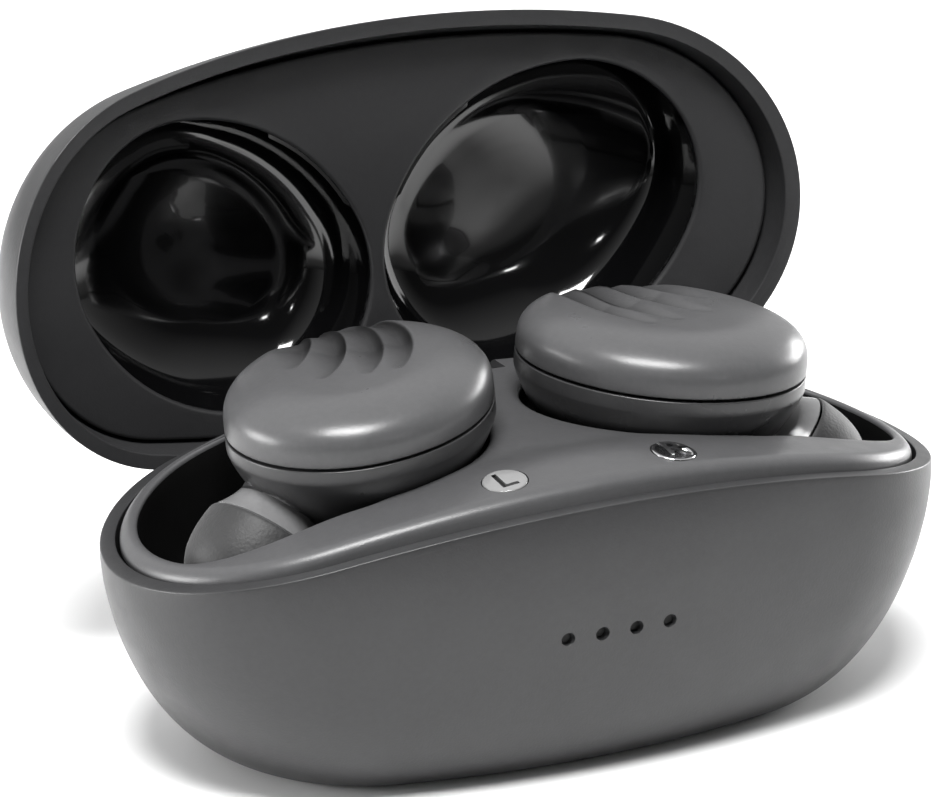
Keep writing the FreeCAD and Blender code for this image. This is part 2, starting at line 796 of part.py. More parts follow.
cup_hollow = cup_form("cup_hollow", size(0))
cup_outside = cup_form("cup_outside", d.cup_wall)
cup_clipped = overlap("cup_clipped", cup_outside, inner_form)
cup_room = overlap("cup_room", cup_hollow, pebble("cup_limit_form", d.wall_thickness + d.cup_wall))
cup_left = cut("cup_left", cup_clipped, below_liner, cup_room)
cup_outside_right = mirror("cup_outside_right", cup_outside)
liner_slab = overlap("liner_slab", inner_form, below_liner_top)
liner_arm_room = block("liner_arm_room", NOTCH_X, (14.2, 30), (20, 40))
lid_liner = cut("liner_cut", liner_slab, below_liner, cup_outside, cup_outside_right, liner_arm_room)
lid_magnet = block("lid_magnet_block", (-5, 5), (-15.4, -13.6), (30.2, 32.2))


def opened(obj):
    """Turns a lid piece back about the hinge pin from closed to open."""
    hinge = VECTOR(0, PIN_Y.value, PIN_Z.value)
    rotation = FreeCAD.Rotation(X_AXIS, -d.open_angle.value)
    swing = FreeCAD.Placement(VECTOR(), rotation, hinge)
    doc.recompute()
    for prop, _ in list(obj.ExpressionEngine):
        if prop.lstrip(".").startswith("Placement"):
            obj.setExpression(prop, None)
    obj.Placement = swing * obj.Placement
    return obj


for node, obj in (
    ("lid_shell", lid_shell),
    ("lid_liner", lid_liner),
    ("lid_magnet", lid_magnet),
    ("hinge_arm", hinge_arm),
    ("hinge_arm_screws", arm_screws),
    ("lid_cup_left", cup_left),
):
    part(node, opened(obj))
part("lid_cup_right", mirror("cup_right", cup_left))

# ---- earbuds ---------------------------------------------------------------------------------

CAP_STEPS = 6
CAP_FULLNESS = 2.3


def bud_place(obj):
    """Moves a piece drawn in the earbud's frame to the left earbud."""
    obj.Placement = BUD_PLACE * obj.Placement
    return obj


def bud_oval(shrink_length, shrink_width, height):
    half_width = d.bud_half_width - shrink_width
    return (d.bud_half_length - shrink_length, half_width, half_width - 1.0, size(height))


def dome(name, base_height, height, inset, edge_shrink=0.0):
    """A rounded oval button or bowl that closes upwards, or downwards for a negative height."""
    sections = []
    for step in range(CAP_STEPS + 1):
        angle = math.radians(90 * step / CAP_STEPS)
        shrink = inset * (1 - math.cos(angle)) + edge_shrink
        rise = math.sin(angle) ** (2 / CAP_FULLNESS)
        sections.append(bud_oval(shrink, shrink, base_height + rise * size(height)))
    return loft(name, sections)


HALF_GAP = d.parting_gap / 2
SIDE_BAND = 0.6
cap_dome = dome("cap_dome", HALF_GAP + SIDE_BAND, d.cap_height - HALF_GAP - SIDE_BAND, 7.5)
cap_band = loft("cap_band", [bud_oval(0, 0, HALF_GAP), bud_oval(0, 0, HALF_GAP + SIDE_BAND)])
cap_hollow = dome(
    "cap_hollow", HALF_GAP - 1, d.cap_height - HALF_GAP - d.bud_wall - 0.2, 7.5, 1.1
)
cap_stem = rod("cap_stem", 1.0, 7, (size(4), size(-3), size(-0.75)))
cap_stem_clip = overlap("cap_stem_clip", cap_stem, dome("cap_stem_form", size(-2), 7, 7.5))
cap = join(
    "cap_join",
    cut("cap_shell", join("cap_solid", cap_dome, cap_band), cap_hollow),
    cap_stem_clip,
)
housing_bowl = dome("housing_bowl", -HALF_GAP - 2.6, -(d.housing_depth - 2.75), 8.5)
housing_band = loft(
    "housing_band", [bud_oval(0, 0, -HALF_GAP - 2.6), bud_oval(0, 0, -HALF_GAP)]
)
cavity_top = -HALF_GAP - d.plate_thickness
housing_cavity = dome(
    "housing_cavity", -HALF_GAP - 2.6, -(d.housing_depth - 2.75 - d.bud_wall), 8.5, 0.9
)
cavity_band = loft(
    "cavity_band", [bud_oval(0.9, 0.9, -HALF_GAP - 2.61), bud_oval(0.9, 0.9, cavity_top)]
)
stem_hole = rod("stem_hole", 1.3, 4, (size(4), size(-3), size(-3)))

# The nozzle points outwards, forwards and down, from a start outside the earbud's middle.
NOZZLE_SLOPE, NOZZLE_YAW = math.radians(d.nozzle_slope.value), math.radians(d.nozzle_yaw.value)
NOZZLE_AXIS = VECTOR(
    -math.cos(NOZZLE_SLOPE) * math.cos(NOZZLE_YAW),
    -math.cos(NOZZLE_SLOPE) * math.sin(NOZZLE_YAW),
    -math.sin(NOZZLE_SLOPE),
)
TO_BUD = BUD_PLACE.Rotation.inverted()
LOCAL_AXIS = TO_BUD.multVec(NOZZLE_AXIS)
NOZZLE_START = TO_BUD.multVec(VECTOR(-d.nozzle_out.value, 0, -d.nozzle_drop.value))


def along(distance):
    """A point on the nozzle's axis, in the earbud's frame."""
    point = NOZZLE_START + LOCAL_AXIS * float(size(distance).value)
    return size(point.x), size(point.y), size(point.z)


NOZZLE_PLACE = FreeCAD.Placement(NOZZLE_START, FreeCAD.Rotation(Z_AXIS, LOCAL_AXIS))
collar = cone(
    "collar",
    d.stem_radius,
    d.collar_radius,
    d.collar_end - d.stem_start,
    along(d.stem_start),
    LOCAL_AXIS,
)
tube = rod("nozzle_tube", d.nozzle_radius, d.nozzle_end - 10, along(10), LOCAL_AXIS)
driver_bore = rod("driver_bore", 4.3, 6.4, along(4), LOCAL_AXIS)
sound_bore = rod("sound_bore", 1.8, 12, along(10), LOCAL_AXIS)
tip_room = rod("tip_room", d.tip_radius + 0.25, 12, along(d.collar_end), LOCAL_AXIS)
mesh_seat = rod("mesh_seat", 2.2, 2, along(d.nozzle_end - 0.4), LOCAL_AXIS)
PAD_RADIUS = 0.9


def bud_pads(name, low):
    return join(
        name,
        *[
            rod(f"{name}{n}", PAD_RADIUS, 1.6, (size(x), size(y), size(low)))
            for n, (x, y) in enumerate(POGO_SPOTS)
        ],
    )


pads = bud_pads("charge_pads", -PAD_FACE)
housing_body = cut("housing_body", join("housing_form", housing_bowl, housing_band), tip_room)
housing = cut(
    "housing_cut",
    join("housing_solid", housing_body, collar, tube),
    housing_cavity,
    cavity_band,
    stem_hole,
    driver_bore,
    sound_bore,
    mesh_seat,
    bud_pads("pad_holes", -PAD_FACE - 0.5),
)
TIP_START = d.collar_end + 0.05
TIP = (
    (d.nozzle_radius, TIP_START),
    (3.5, TIP_START),
    (3.6, d.tip_end - 3.2),
    (4.4, d.tip_end - 3.4),
    (5.0, d.tip_end - 4.8),
    (5.4, d.tip_end - 6.8),
    (5.5, TIP_START),
    (d.tip_radius - 0.25, TIP_START),
    (d.tip_radius - 0.05, TIP_START + 1.2),
    (d.tip_radius, TIP_START + 2.6),
    (d.tip_radius - 0.2, TIP_START + 4.4),
    (5.3, TIP_START + 6.0),
    (4.4, d.tip_end - 1.1),
    (3.5, d.tip_end - 0.3),
    (2.7, d.tip_end),
    (2.2, d.tip_end - 0.2),
    (2.0, d.tip_end - 0.8),
    (2.2, d.nozzle_end + 0.05),
    (d.nozzle_radius, d.nozzle_end + 0.05),
)
ear_tip = revolve("tip_ring", TIP, NOZZLE_PLACE)
bud_pieces = {
    "earbud_cap": cap,
    "earbud_housing": housing,
    "ear_tip": ear_tip,
    "nozzle_mesh": rod("mesh_disc", 2.2, 0.35, along(d.nozzle_end - 0.4), LOCAL_AXIS),
    "speaker_driver": join(
        "driver",
        rod("driver_can", 4.3, 2.6, along(7.6), LOCAL_AXIS),
        rod("driver_magnet", 2.6, 1.6, along(6.1), LOCAL_AXIS),
    ),
    "earbud_battery": rod("cell", 4.6, 3.6, (size(4), size(-2), size(-7.2))),
    "earbud_board": cut(
        "bud_board",
        loft("bud_board_oval", [bud_oval(2.2, 2.2, -3.0), bud_oval(2.2, 2.2, -2.4)]),
        rod("driver_room", 4.7, 8, along(4), LOCAL_AXIS),
    ),
    "button_switch": join(
        "switch",
        block("switch_body", (2.4, 5.6), (-4.6, -1.4), (-2.4, -1.5)),
        rod("switch_dome", 0.9, 0.45, (size(4), size(-3), size(-1.5))),
    ),
    "charging_contacts": pads,
    "earbud_magnet": rod("bud_magnet", 2, 1.3, (size(3.5), size(0.5), size(-8.9))),
}
for node, obj in bud_pieces.items():
    doc.recompute()
    for prop, _ in list(obj.ExpressionEngine):
        if prop.lstrip(".").startswith("Placement"):
            obj.setExpression(prop, None)
    bud_place(obj)
    part(f"{node}_left", obj)
    part(f"{node}_right", mirror(f"{node}_mirrored", obj))

# ---- charging pins and what they stand on ----------------------------------------------------

PLUNGER_GAP = 0.12
PLUNGER_RADIUS = 0.5
for number in (0, 1):
    spot_height = pogo_centre(number).z - PLUNGER_GAP
    low = BARREL_BOTTOM + 0.8
    stalk = pogo_rod(f"plunger_rod{number}", number, PLUNGER_RADIUS, low, spot_height)
    part(f"charging_pin_left_{number + 1}", stalk)
    part(f"charging_pin_right_{number + 1}", mirror(f"plunger_mirror{number}", stalk))
barrels = cut(
    "barrels_left",
    join("barrel_pair", *barrel_rods),
    *[
        pogo_rod(f"barrel_bore{n}", n, PLUNGER_RADIUS + 0.05, BARREL_BOTTOM + 0.3, 25)
        for n in (0, 1)
    ],
)
part("charging_pin_barrels", join("barrels", barrels, mirror("barrels_right", barrels)))

UNDER_NEST = d.nest_floor - d.nest_wall
contact_board_blank = block(
    "contact_board_blank", (-17.8, -10.5), (-2.5, 5.5), (UNDER_NEST - 0.8, UNDER_NEST)
)
contact_board = cut("contact_board", contact_board_blank, join("barrel_room", *barrel_rods))
part("contact_board_right", mirror("contact_board_mirror", contact_board))
part("contact_board_left", contact_board)
nest_magnet = rod("nest_magnet", 2.5, 2, (size(-7.5), size(6.5), UNDER_NEST - 2))
part("nest_magnet_right", mirror("nest_magnet_mirror", nest_magnet))
part("nest_magnet_left", nest_magnet)
part("catch_magnet", block("catch_magnet_block", (-5, 5), (-17.0, -15.4), (22, 25.6)))

# ---- electronics in the base -----------------------------------------------------------------

board_blank = join(
    "board_blank",
    block("board_field", (-20, 20), (-11.8, 12), (d.board_bottom, BOARD_TOP)),
    block("board_front_tab", (-9, 9), (-16.6, -11), (d.board_bottom, BOARD_TOP)),
    block("board_rear_tab", (-5.5, 5.5), (11, 16.4), (d.board_bottom, BOARD_TOP)),
)
part("main_board", cut("main_board_cut", board_blank, board_screw_holes))
part(
    "board_components",
    join(
        "components",
        block("charger_chip", (-14, -10), (-3, 1), (BOARD_TOP, BOARD_TOP + 0.9)),
        block("controller_chip", (7, 13), (-4, 2), (BOARD_TOP, BOARD_TOP + 1)),
        block("inductor", (-4, 0), (-2, 2), (BOARD_TOP, BOARD_TOP + 1.6)),
        block("capacitor", (14.5, 16.5), (5, 6.2), (BOARD_TOP, BOARD_TOP + 1)),
        block("lead_socket", (-18, -14.5), (4, 8), (BOARD_TOP, BOARD_TOP + 1.8)),
    ),
)
part(
    "board_screws",
    join(
        "board_screw_set",
        *[
            screw(f"board_screw{n}", size(x), size(y), d.board_bottom, d.board_bottom + 3.2, up=False)
            for n, (x, y) in enumerate(BOARD_POSTS)
        ],
    ),
)
part("battery_pad", block("pad_block", (-15, 15), (-8, 8), (1.4, 1.9)))
BATTERY_TOP = size(6.9)
LEAD_LENGTH = d.board_bottom - BATTERY_TOP
part("case_battery", block("battery_block", (-17, 17), (-10, 10), (1.9, BATTERY_TOP)))
part(
    "battery_leads",
    pair("lead_pair", lambda n, s: rod(n, 0.5, LEAD_LENGTH, (size(-15) + s, size(0), BATTERY_TOP))),
)
usb_front, usb_back = size(18.9), size(12.4)
usb_tube = cut(
    "usb_tube",
    slot("usb_outside", USB_HALF_WIDTH, USB_RADIUS, usb_back, usb_front),
    slot("usb_inside", USB_HALF_WIDTH - 0.3, USB_RADIUS - 0.3, usb_back + 0.4, usb_front + 1),
)
part("usb_socket", usb_tube)
tongue_heights = (d.usb_height - 0.35, d.usb_height + 0.35)
tongue = block("tongue_block", (-3.3, 3.3), (usb_back + 0.4, usb_front - 0.6), tongue_heights)
part("usb_tongue", tongue)
guide_bar = block("guide_bar", (-7, 7), (-18.6, -17.4), (d.led_height - 1.1, d.led_height + 1.1))
guide_pegs = [
    rod(
        f"guide_peg{n}",
        d.led_hole_radius - 0.03,
        1.6,
        ((n - 1.5) * d.led_pitch, size(-19.8), d.led_height),
        Y_AXIS,
    )
    for n in range(4)
]
part("light_guide", join("guide", guide_bar, *guide_pegs))
part(
    "status_leds",
    join(
        "leds",
        *[
            block(
                f"led{n}",
                ((n - 1.5) * d.led_pitch - 0.8, (n - 1.5) * d.led_pitch + 0.8),
                (-17.4, -16.7),
                (d.led_height - 0.4, d.led_height + 0.4),
            )
            for n in range(4)
        ],
    ),
)
led_board_heights = (BOARD_TOP, d.led_height + 1.6)
part("led_board", block("led_board_block", (-8, 8), (-16.7, -16.1), led_board_heights))

# ---- checks and files ------------------------------------------------------------------------

doc.recompute()
for obj in doc.Objects:
    if {"Invalid", "Error"} & set(obj.State):
        raise RuntimeError(f"{obj.Label} failed: {obj.State}")
os.makedirs("parts", exist_ok=True)
for node, obj in parts.items():
    if obj.Shape.isNull() or not obj.Shape.isValid() or not obj.Shape.Solids:
        raise RuntimeError(f"{node} has no valid solid")
    obj.Shape.exportStep(f"parts/{node}.step")
print(len(parts), "parts written")
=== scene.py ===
"""A charging case for two wireless earbuds, its lid open and both earbuds in their nests."""
import json
import math

import bmesh
import bpy
import numpy as np
from mathutils import Matrix, Vector
from mathutils.geometry import delaunay_2d_cdt


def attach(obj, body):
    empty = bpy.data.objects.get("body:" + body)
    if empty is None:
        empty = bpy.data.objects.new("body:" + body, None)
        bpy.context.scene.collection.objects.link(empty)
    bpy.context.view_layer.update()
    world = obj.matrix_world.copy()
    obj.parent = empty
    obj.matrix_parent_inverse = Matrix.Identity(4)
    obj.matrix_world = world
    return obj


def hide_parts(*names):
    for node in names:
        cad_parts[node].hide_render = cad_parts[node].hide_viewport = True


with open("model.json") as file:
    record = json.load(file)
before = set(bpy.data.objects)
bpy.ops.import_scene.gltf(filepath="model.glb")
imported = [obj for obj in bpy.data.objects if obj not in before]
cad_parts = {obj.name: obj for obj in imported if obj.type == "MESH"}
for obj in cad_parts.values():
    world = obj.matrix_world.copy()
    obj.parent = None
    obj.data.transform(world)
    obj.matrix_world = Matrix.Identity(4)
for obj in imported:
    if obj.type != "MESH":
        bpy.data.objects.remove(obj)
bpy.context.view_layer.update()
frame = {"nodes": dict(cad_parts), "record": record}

# ---- sizes, in millimetres as the design has them ---------------------------------------------

MM = 0.001
HALF_LENGTH, HALF_DEPTH, END_RADIUS = 40.0, 20.85, 18.26
CASE_HEIGHT, WIDEST_HEIGHT, WALL = 39.4, 19.8, 1.4
BASE_END_INSET, BASE_SIDE_INSET, BASE_FULLNESS = 14.1, 7.7, 1.66
LID_END_INSET, LID_SIDE_INSET, LID_FULLNESS = 22.0, 12.5, 2.4
SPLIT_HEIGHT, SPLIT_RADIUS, SPLIT_TILT, SPLIT_GAP = 26.3, 131.0, math.radians(2.58), 0.25
DECK_RISE, DECK_RADIUS, TRAY_OFFSET = 1.7, 112.0, 1.8
LINER_LIFT, LINER_OFFSET = 2.7, 1.7
HINGE_Y, HINGE_Z, OPEN_ANGLE = 18.6, 19.06, math.radians(96.5)
CUP_X, CUP_Y, CUP_HALF_LENGTH, CUP_HALF_WIDTH = 16.3, 0.9, 16.3, 13.0
CUP_SPRING, CUP_CROWN, CUP_INSET, CUP_FULLNESS, CUP_WALL = 29.5, 37.4, 6.6, 2.6, 0.35
BUD_X, BUD_Y, BUD_Z = 15.1, 1.8, 30.3
BUD_TURN, BUD_TILT = math.radians(33), math.radians(5.5)
BUD_HALF_LENGTH, BUD_HALF_WIDTH = 13.4, 11.8
CAP_HEIGHT, CAP_INSET, CAP_FULLNESS = 5.4, 6.4, 2.9
GAP_LEVEL, HALF_GAP = 0.65, 0.15
HOUSING_DEPTH, HOUSING_INSET, HOUSING_FULLNESS = 10.4, 11.0, 1.2
NOZZLE_SLOPE, NOZZLE_YAW = math.radians(43.5), math.radians(22)
NOZZLE_OUT, NOZZLE_DROP, COLLAR_END = 2.8, 0.6, 11.7
TIP_RADIUS, TIP_END = 6.1, 20.2
NEST_FLOOR, TIP_FLOOR = 18.4, 12.2
LED_HEIGHT, LED_PITCH, LED_RADIUS = 15.1, 3.39, 0.55
MARK_X, MARK_Y, MARK_RADIUS = 8.4, -14.2, 2.05
SWELL_HEIGHT, SWELL_Y, SWELL_WIDTH, SWELL_LENGTH = 0.75, -12.2, 5.2, 20.0
USB_HEIGHT, USB_HALF_WIDTH, USB_RADIUS, USB_CUT = 10.0, 4.62, 1.75, (14.5, 25)
ARM_HALF_WIDTH, ARM_START, ARM_DROP = 5.8, 14.9, 2.5
BACK_OF_CUTS, TOP_OF_CUTS = 30, 40

END_STEPS, SIDE_STEPS = 56, 72
RING_COUNT = 361

# ---- outlines and surfaces --------------------------------------------------------------------


def oval_arcs(half_length, half_width, end_radius):
    """The reach, side radius, drop and join angle of an oval of four tangent arcs."""
    reach = half_length - end_radius
    side_radius = (reach**2 + half_width**2 - end_radius**2) / (2 * (half_width - end_radius))
    drop = side_radius - half_width
    return reach, side_radius, drop, math.atan2(drop, reach)


def oval(half_length, half_width, end_radius, end_steps=END_STEPS, side_steps=SIDE_STEPS):
    """Points round an oval, counterclockwise from the lower end of its +X arc."""
    reach, side_radius, drop, join = oval_arcs(half_length, half_width, end_radius)
    arcs = (
        (reach, 0, end_radius, -join, join, end_steps),
        (0, -drop, side_radius, join, math.pi - join, side_steps),
        (-reach, 0, end_radius, math.pi - join, math.pi + join, end_steps),
        (0, drop, side_radius, math.pi + join, 2 * math.pi - join, side_steps),
    )
    points = []
    for x, y, radius, start, end, steps in arcs:
        angles = np.linspace(start, end, steps, endpoint=False)
        points.append(np.column_stack((x + radius * np.cos(angles), y + radius * np.sin(angles))))
    return np.vstack(points)


def oval_distance(x, y, half_length, half_width, end_radius):
    """Signed distance from points to an oval, negative inside."""
    reach, side_radius, drop, _ = oval_arcs(half_length, half_width, end_radius)
    x, y = np.abs(x), np.abs(y)
    on_end = y * reach < (x - reach) * drop
    from_end = np.hypot(x - reach, y) - end_radius
    from_side = np.hypot(x, y + drop) - side_radius
    return np.where(on_end, from_end, from_side)


def pebble_section(angle, offset):
    """Half length, half width, end radius and height of the case's form at a section angle."""
    if angle < 0:
        rise = math.sin(-angle) ** (2 / BASE_FULLNESS)
        height = WIDEST_HEIGHT - rise * (WIDEST_HEIGHT - offset)
        end_inset, side_inset = BASE_END_INSET, BASE_SIDE_INSET
    else:
        rise = math.sin(angle) ** (2 / LID_FULLNESS)
        height = WIDEST_HEIGHT + rise * (CASE_HEIGHT - offset - WIDEST_HEIGHT)
        end_inset, side_inset = LID_END_INSET, LID_SIDE_INSET
    inset = 1 - math.cos(angle)
    half_width = HALF_DEPTH - inset * side_inset
    end_radius = half_width * END_RADIUS / HALF_DEPTH - offset
    return HALF_LENGTH - inset * end_inset - offset, half_width - offset, end_radius, height


def pebble_rings(offset):
    """The case's form moved inwards by an offset, as rings from the underside to the top."""
    rings = []
    for angle in np.linspace(-math.pi / 2, math.pi / 2, RING_COUNT):
        *shape, height = pebble_section(angle, offset)
        outline = oval(*shape)
        rings.append(np.column_stack((outline, np.full(len(outline), height))))
    return np.array(rings)


def arched(height, radius):
    """A surface arched along the case and falling towards the hinge."""

    def surface(x, y):
        sag = radius - np.sqrt(radius**2 - np.asarray(x) ** 2)
        return height - sag - np.asarray(y) * math.tan(SPLIT_TILT)

    return surface


base_rim = arched(SPLIT_HEIGHT, SPLIT_RADIUS)
lid_rim = arched(SPLIT_HEIGHT + SPLIT_GAP, SPLIT_RADIUS + SPLIT_GAP)
plain_deck = arched(SPLIT_HEIGHT + DECK_RISE, DECK_RADIUS)
liner_face = arched(SPLIT_HEIGHT + LINER_LIFT, SPLIT_RADIUS + LINER_LIFT)


def swell(value, centre, reach):
    """A smooth hump that is one at its centre and zero a reach away."""
    part = np.clip(np.abs((np.asarray(value) - centre) / reach), 0, 1)
    return (1 - part**2) ** 2


def deck(x, y):
    """The tray's deck, which swells a little in front, where the side marks are."""
    hump = swell(y, SWELL_Y, SWELL_WIDTH) * swell(x, 0, SWELL_LENGTH)
    return plain_deck(x, y) + SWELL_HEIGHT * hump


def lowered(surface, drop):
    """A surface moved down by a drop."""
    return lambda x, y: surface(x, y) - drop


def lid_ceiling(x, y, offset):
    """Height of the lid's form above points in plan, moved inwards by an offset."""
    height = np.full(np.shape(x), WIDEST_HEIGHT)
    last = None
    for angle in np.linspace(0, math.pi / 2, 91):
        *shape, level = pebble_section(angle, offset)
        distance = oval_distance(x, y, *shape)
        if last is not None:
            part = np.clip(-last[0] / np.maximum(distance - last[0], 1e-9), 0, 1)
            height = np.where(last[0] < 0, last[1] + part * (level - last[1]), height)
        last = (distance, level)
    return height


def crossing(rings, surface):
    """The row, as a fraction, where each column of rings passes up through a surface."""
    gap = rings[:, :, 2] - surface(rings[:, :, 0], rings[:, :, 1])
    row = np.argmax((gap[:-1] <= 0) & (gap[1:] > 0), axis=0)
    columns = np.arange(rings.shape[1])
    below, above = gap[row, columns], gap[row + 1, columns]
    return row + below / (below - above)


def ring_at(rings, rows):
    """One ring picked from each column at a fractional row."""
    rows = np.broadcast_to(rows, rings.shape[1])
    low = np.clip(np.floor(rows).astype(int), 0, len(rings) - 2)
    part = (rows - low)[:, None]
    columns = np.arange(rings.shape[1])
    return rings[low, columns] * (1 - part) + rings[low + 1, columns] * part


def unit(vectors):
    """Vectors scaled to length one."""
    return vectors / np.linalg.norm(vectors, axis=-1, keepdims=True)


def rounded(before, corner, after, radius, steps=4):
    """Rings that round off a corner between its neighbours."""
    start = corner + unit(before - corner) * radius
    end = corner + unit(after - corner) * radius
    parts = np.linspace(0, 1, steps + 1)
    return [(1 - t) ** 2 * start + 2 * t * (1 - t) * corner + t * t * end for t in parts]


def flat_rings(ring, parts):
    """Smaller copies of a ring about its centre."""
    centre = ring.mean(axis=0)
    return [centre + (ring - centre) * part for part in parts]


def level_ring(outline, height):
    """An outline as a level ring."""
    return np.column_stack((outline, np.full(len(outline), float(height))))


def shoulder(steps, fullness):
    """Inset and rise, each from 0 to 1, over a rounded shoulder."""
    for angle in [math.pi / 2 * step / steps for step in range(steps + 1)]:
        yield 1 - math.cos(angle), math.sin(angle) ** (2 / fullness)


def turned(points, angle):
    """Points turned about Z."""
    cos, sin = math.cos(angle), math.sin(angle)
    out = np.array(points, dtype=float)
    out[..., 0] = points[..., 0] * cos - points[..., 1] * sin
    out[..., 1] = points[..., 0] * sin + points[..., 1] * cos
    return out


def opened(points):
    """Lid points turned back about the hinge pin from closed to open."""
    out = np.array(points, dtype=float)
    y, z = out[..., 1] - HINGE_Y, out[..., 2] - HINGE_Z
    cos, sin = math.cos(OPEN_ANGLE), math.sin(OPEN_ANGLE)
    out[..., 1], out[..., 2] = HINGE_Y + y * cos + z * sin, HINGE_Z - y * sin + z * cos
    return out


def open_matrix():
    """The same turn for a mesh in metres."""
    pin = Matrix.Translation((0, HINGE_Y * MM, HINGE_Z * MM))
    return pin @ Matrix.Rotation(-OPEN_ANGLE, 4, "X") @ pin.inverted()


def mirrored(points):
    """Points mirrored from the left side to the right."""
    out = np.array(points, dtype=float)
    out[..., 0] *= -1
    return out


# ---- meshes -----------------------------------------------------------------------------------


def skin(rings, close_first=True, close_last=True):
    """Vertices and faces of a tube of rings, closed at its ends by fans."""
    rings = np.asarray(rings)
    count, around = rings.shape[:2]
    vertices = list(rings.reshape(-1, 3))
    faces = []
    for row in range(count - 1):
        for column in range(around):
            beside = (column + 1) % around
            low, high = row * around, (row + 1) * around
            faces.append((low + column, low + beside, high + beside, high + column))
    for wanted, row in ((close_first, 0), (close_last, count - 1)):
        if wanted:
            centre = len(vertices)
            vertices.append(rings[row].mean(axis=0))
            start = row * around
            for column in range(around):
                faces.append((start + column, start + (column + 1) % around, centre))
    return vertices, faces


def add_object(name, data):
    """An object in the scene, from its mesh, curve, light or camera."""
    obj = bpy.data.objects.new(name, data)
    bpy.context.scene.collection.objects.link(obj)
    return obj


def new_object(name, vertices, faces):
    """A mesh object from points in millimetres."""
    mesh = bpy.data.meshes.new(name)
    mesh.from_pydata([tuple(float(v) * MM for v in p) for p in vertices], [], faces)
    return add_object(name, mesh)


def clean_mesh(mesh, weld=0.0):
    """Welds vertices closer than a distance and turns the faces outwards."""
    work = bmesh.new()
    work.from_mesh(mesh)
    if weld:
        bmesh.ops.remove_doubles(work, verts=work.verts, dist=weld * MM)
    bmesh.ops.recalc_face_normals(work, faces=work.faces)
    work.to_mesh(mesh)
    work.free()


def piece(name, vertices, faces, body, slot, look=None, weld=0.0, crease=35):
    """A visible piece with its slot's material, or with a look of its own."""
    obj = new_object(name, vertices, faces)
    clean_mesh(obj.data, weld)
    obj.data.materials.append(MATERIALS[look or slot])
    obj["body"], obj["slot"], obj["crease"] = body, slot, crease
    return obj


def cutter(name, vertices, faces):
    """A solid used only to cut or to be joined to other pieces."""
    obj = new_object(name, vertices, faces)
    clean_mesh(obj.data)
    return obj


def apply_modifiers(obj):
    """Bakes an object's modifiers into its mesh."""
    evaluated = obj.evaluated_get(bpy.context.evaluated_depsgraph_get())
    mesh = bpy.data.meshes.new_from_object(evaluated)
    obj.modifiers.clear()
    obj.data = mesh


def finish_piece(obj, *nodes):
    """Shades a piece, puts it on its body, and has it stand for its CAD nodes."""
    obj.data.shade_smooth()
    obj.data.set_sharp_from_angle(angle=math.radians(obj["crease"]))
    body, slot = obj["body"], obj["slot"]
    for key in ("body", "slot", "crease"):
        del obj[key]
    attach(obj, body)
    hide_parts(*nodes)
    return obj


def box_mesh(name, x, y, z):
    """A plain box, used only to cut other pieces."""
    corners = [(i, j, k) for i in x for j in y for k in z]
    faces = [(0, 1, 3, 2), (4, 6, 7, 5), (0, 4, 5, 1), (2, 3, 7, 6), (0, 2, 6, 4), (1, 5, 7, 3)]
    return cutter(name, corners, faces)


def cut_away(obj, *tools, operation="DIFFERENCE"):
    """Cuts tools out of a piece, or joins them to it, and removes the tools."""
    for tool in tools:
        modifier = obj.modifiers.new(tool.name, "BOOLEAN")
        modifier.operation = operation
        modifier.solver = "EXACT"
        modifier.object = tool
    apply_modifiers(obj)
    for tool in tools:
        bpy.data.objects.remove(tool, do_unlink=True)


def thicken(obj, thickness):
    """Gives a sheet its wall, on the side its normals point away from."""
    modifier = obj.modifiers.new("wall", "SOLIDIFY")
    modifier.thickness = thickness * MM
    modifier.offset = -1
    modifier.use_even_offset = False
    apply_modifiers(obj)


def turned_rings(profile, around=96):
    """Rings round Z from (radius, height) points."""
    angles = np.linspace(0, 2 * math.pi, around, endpoint=False)
    return [
        np.column_stack((r * np.cos(angles), r * np.sin(angles), np.full(around, float(h))))
        for r, h in profile
    ]


def round_rod(name, profile, place, steps=48):
    """A turned solid from (radius, height) points, as a cutter."""
    vertices, faces = skin(turned_rings(profile, steps))
    return cutter(name, placed(np.array(vertices), place), faces)


def placed(points, matrix):
    """Points moved by a 4 by 4 matrix in millimetres."""
    matrix = np.array(matrix)
    return points @ matrix[:3, :3].T + matrix[:3, 3]


# ---- materials --------------------------------------------------------------------------------


def set_inputs(node, **values):
    """Sets a node's sockets, with an underscore for each space in a socket's name."""
    for socket, value in values.items():
        node.inputs[socket.replace("_", " ")].default_value = value


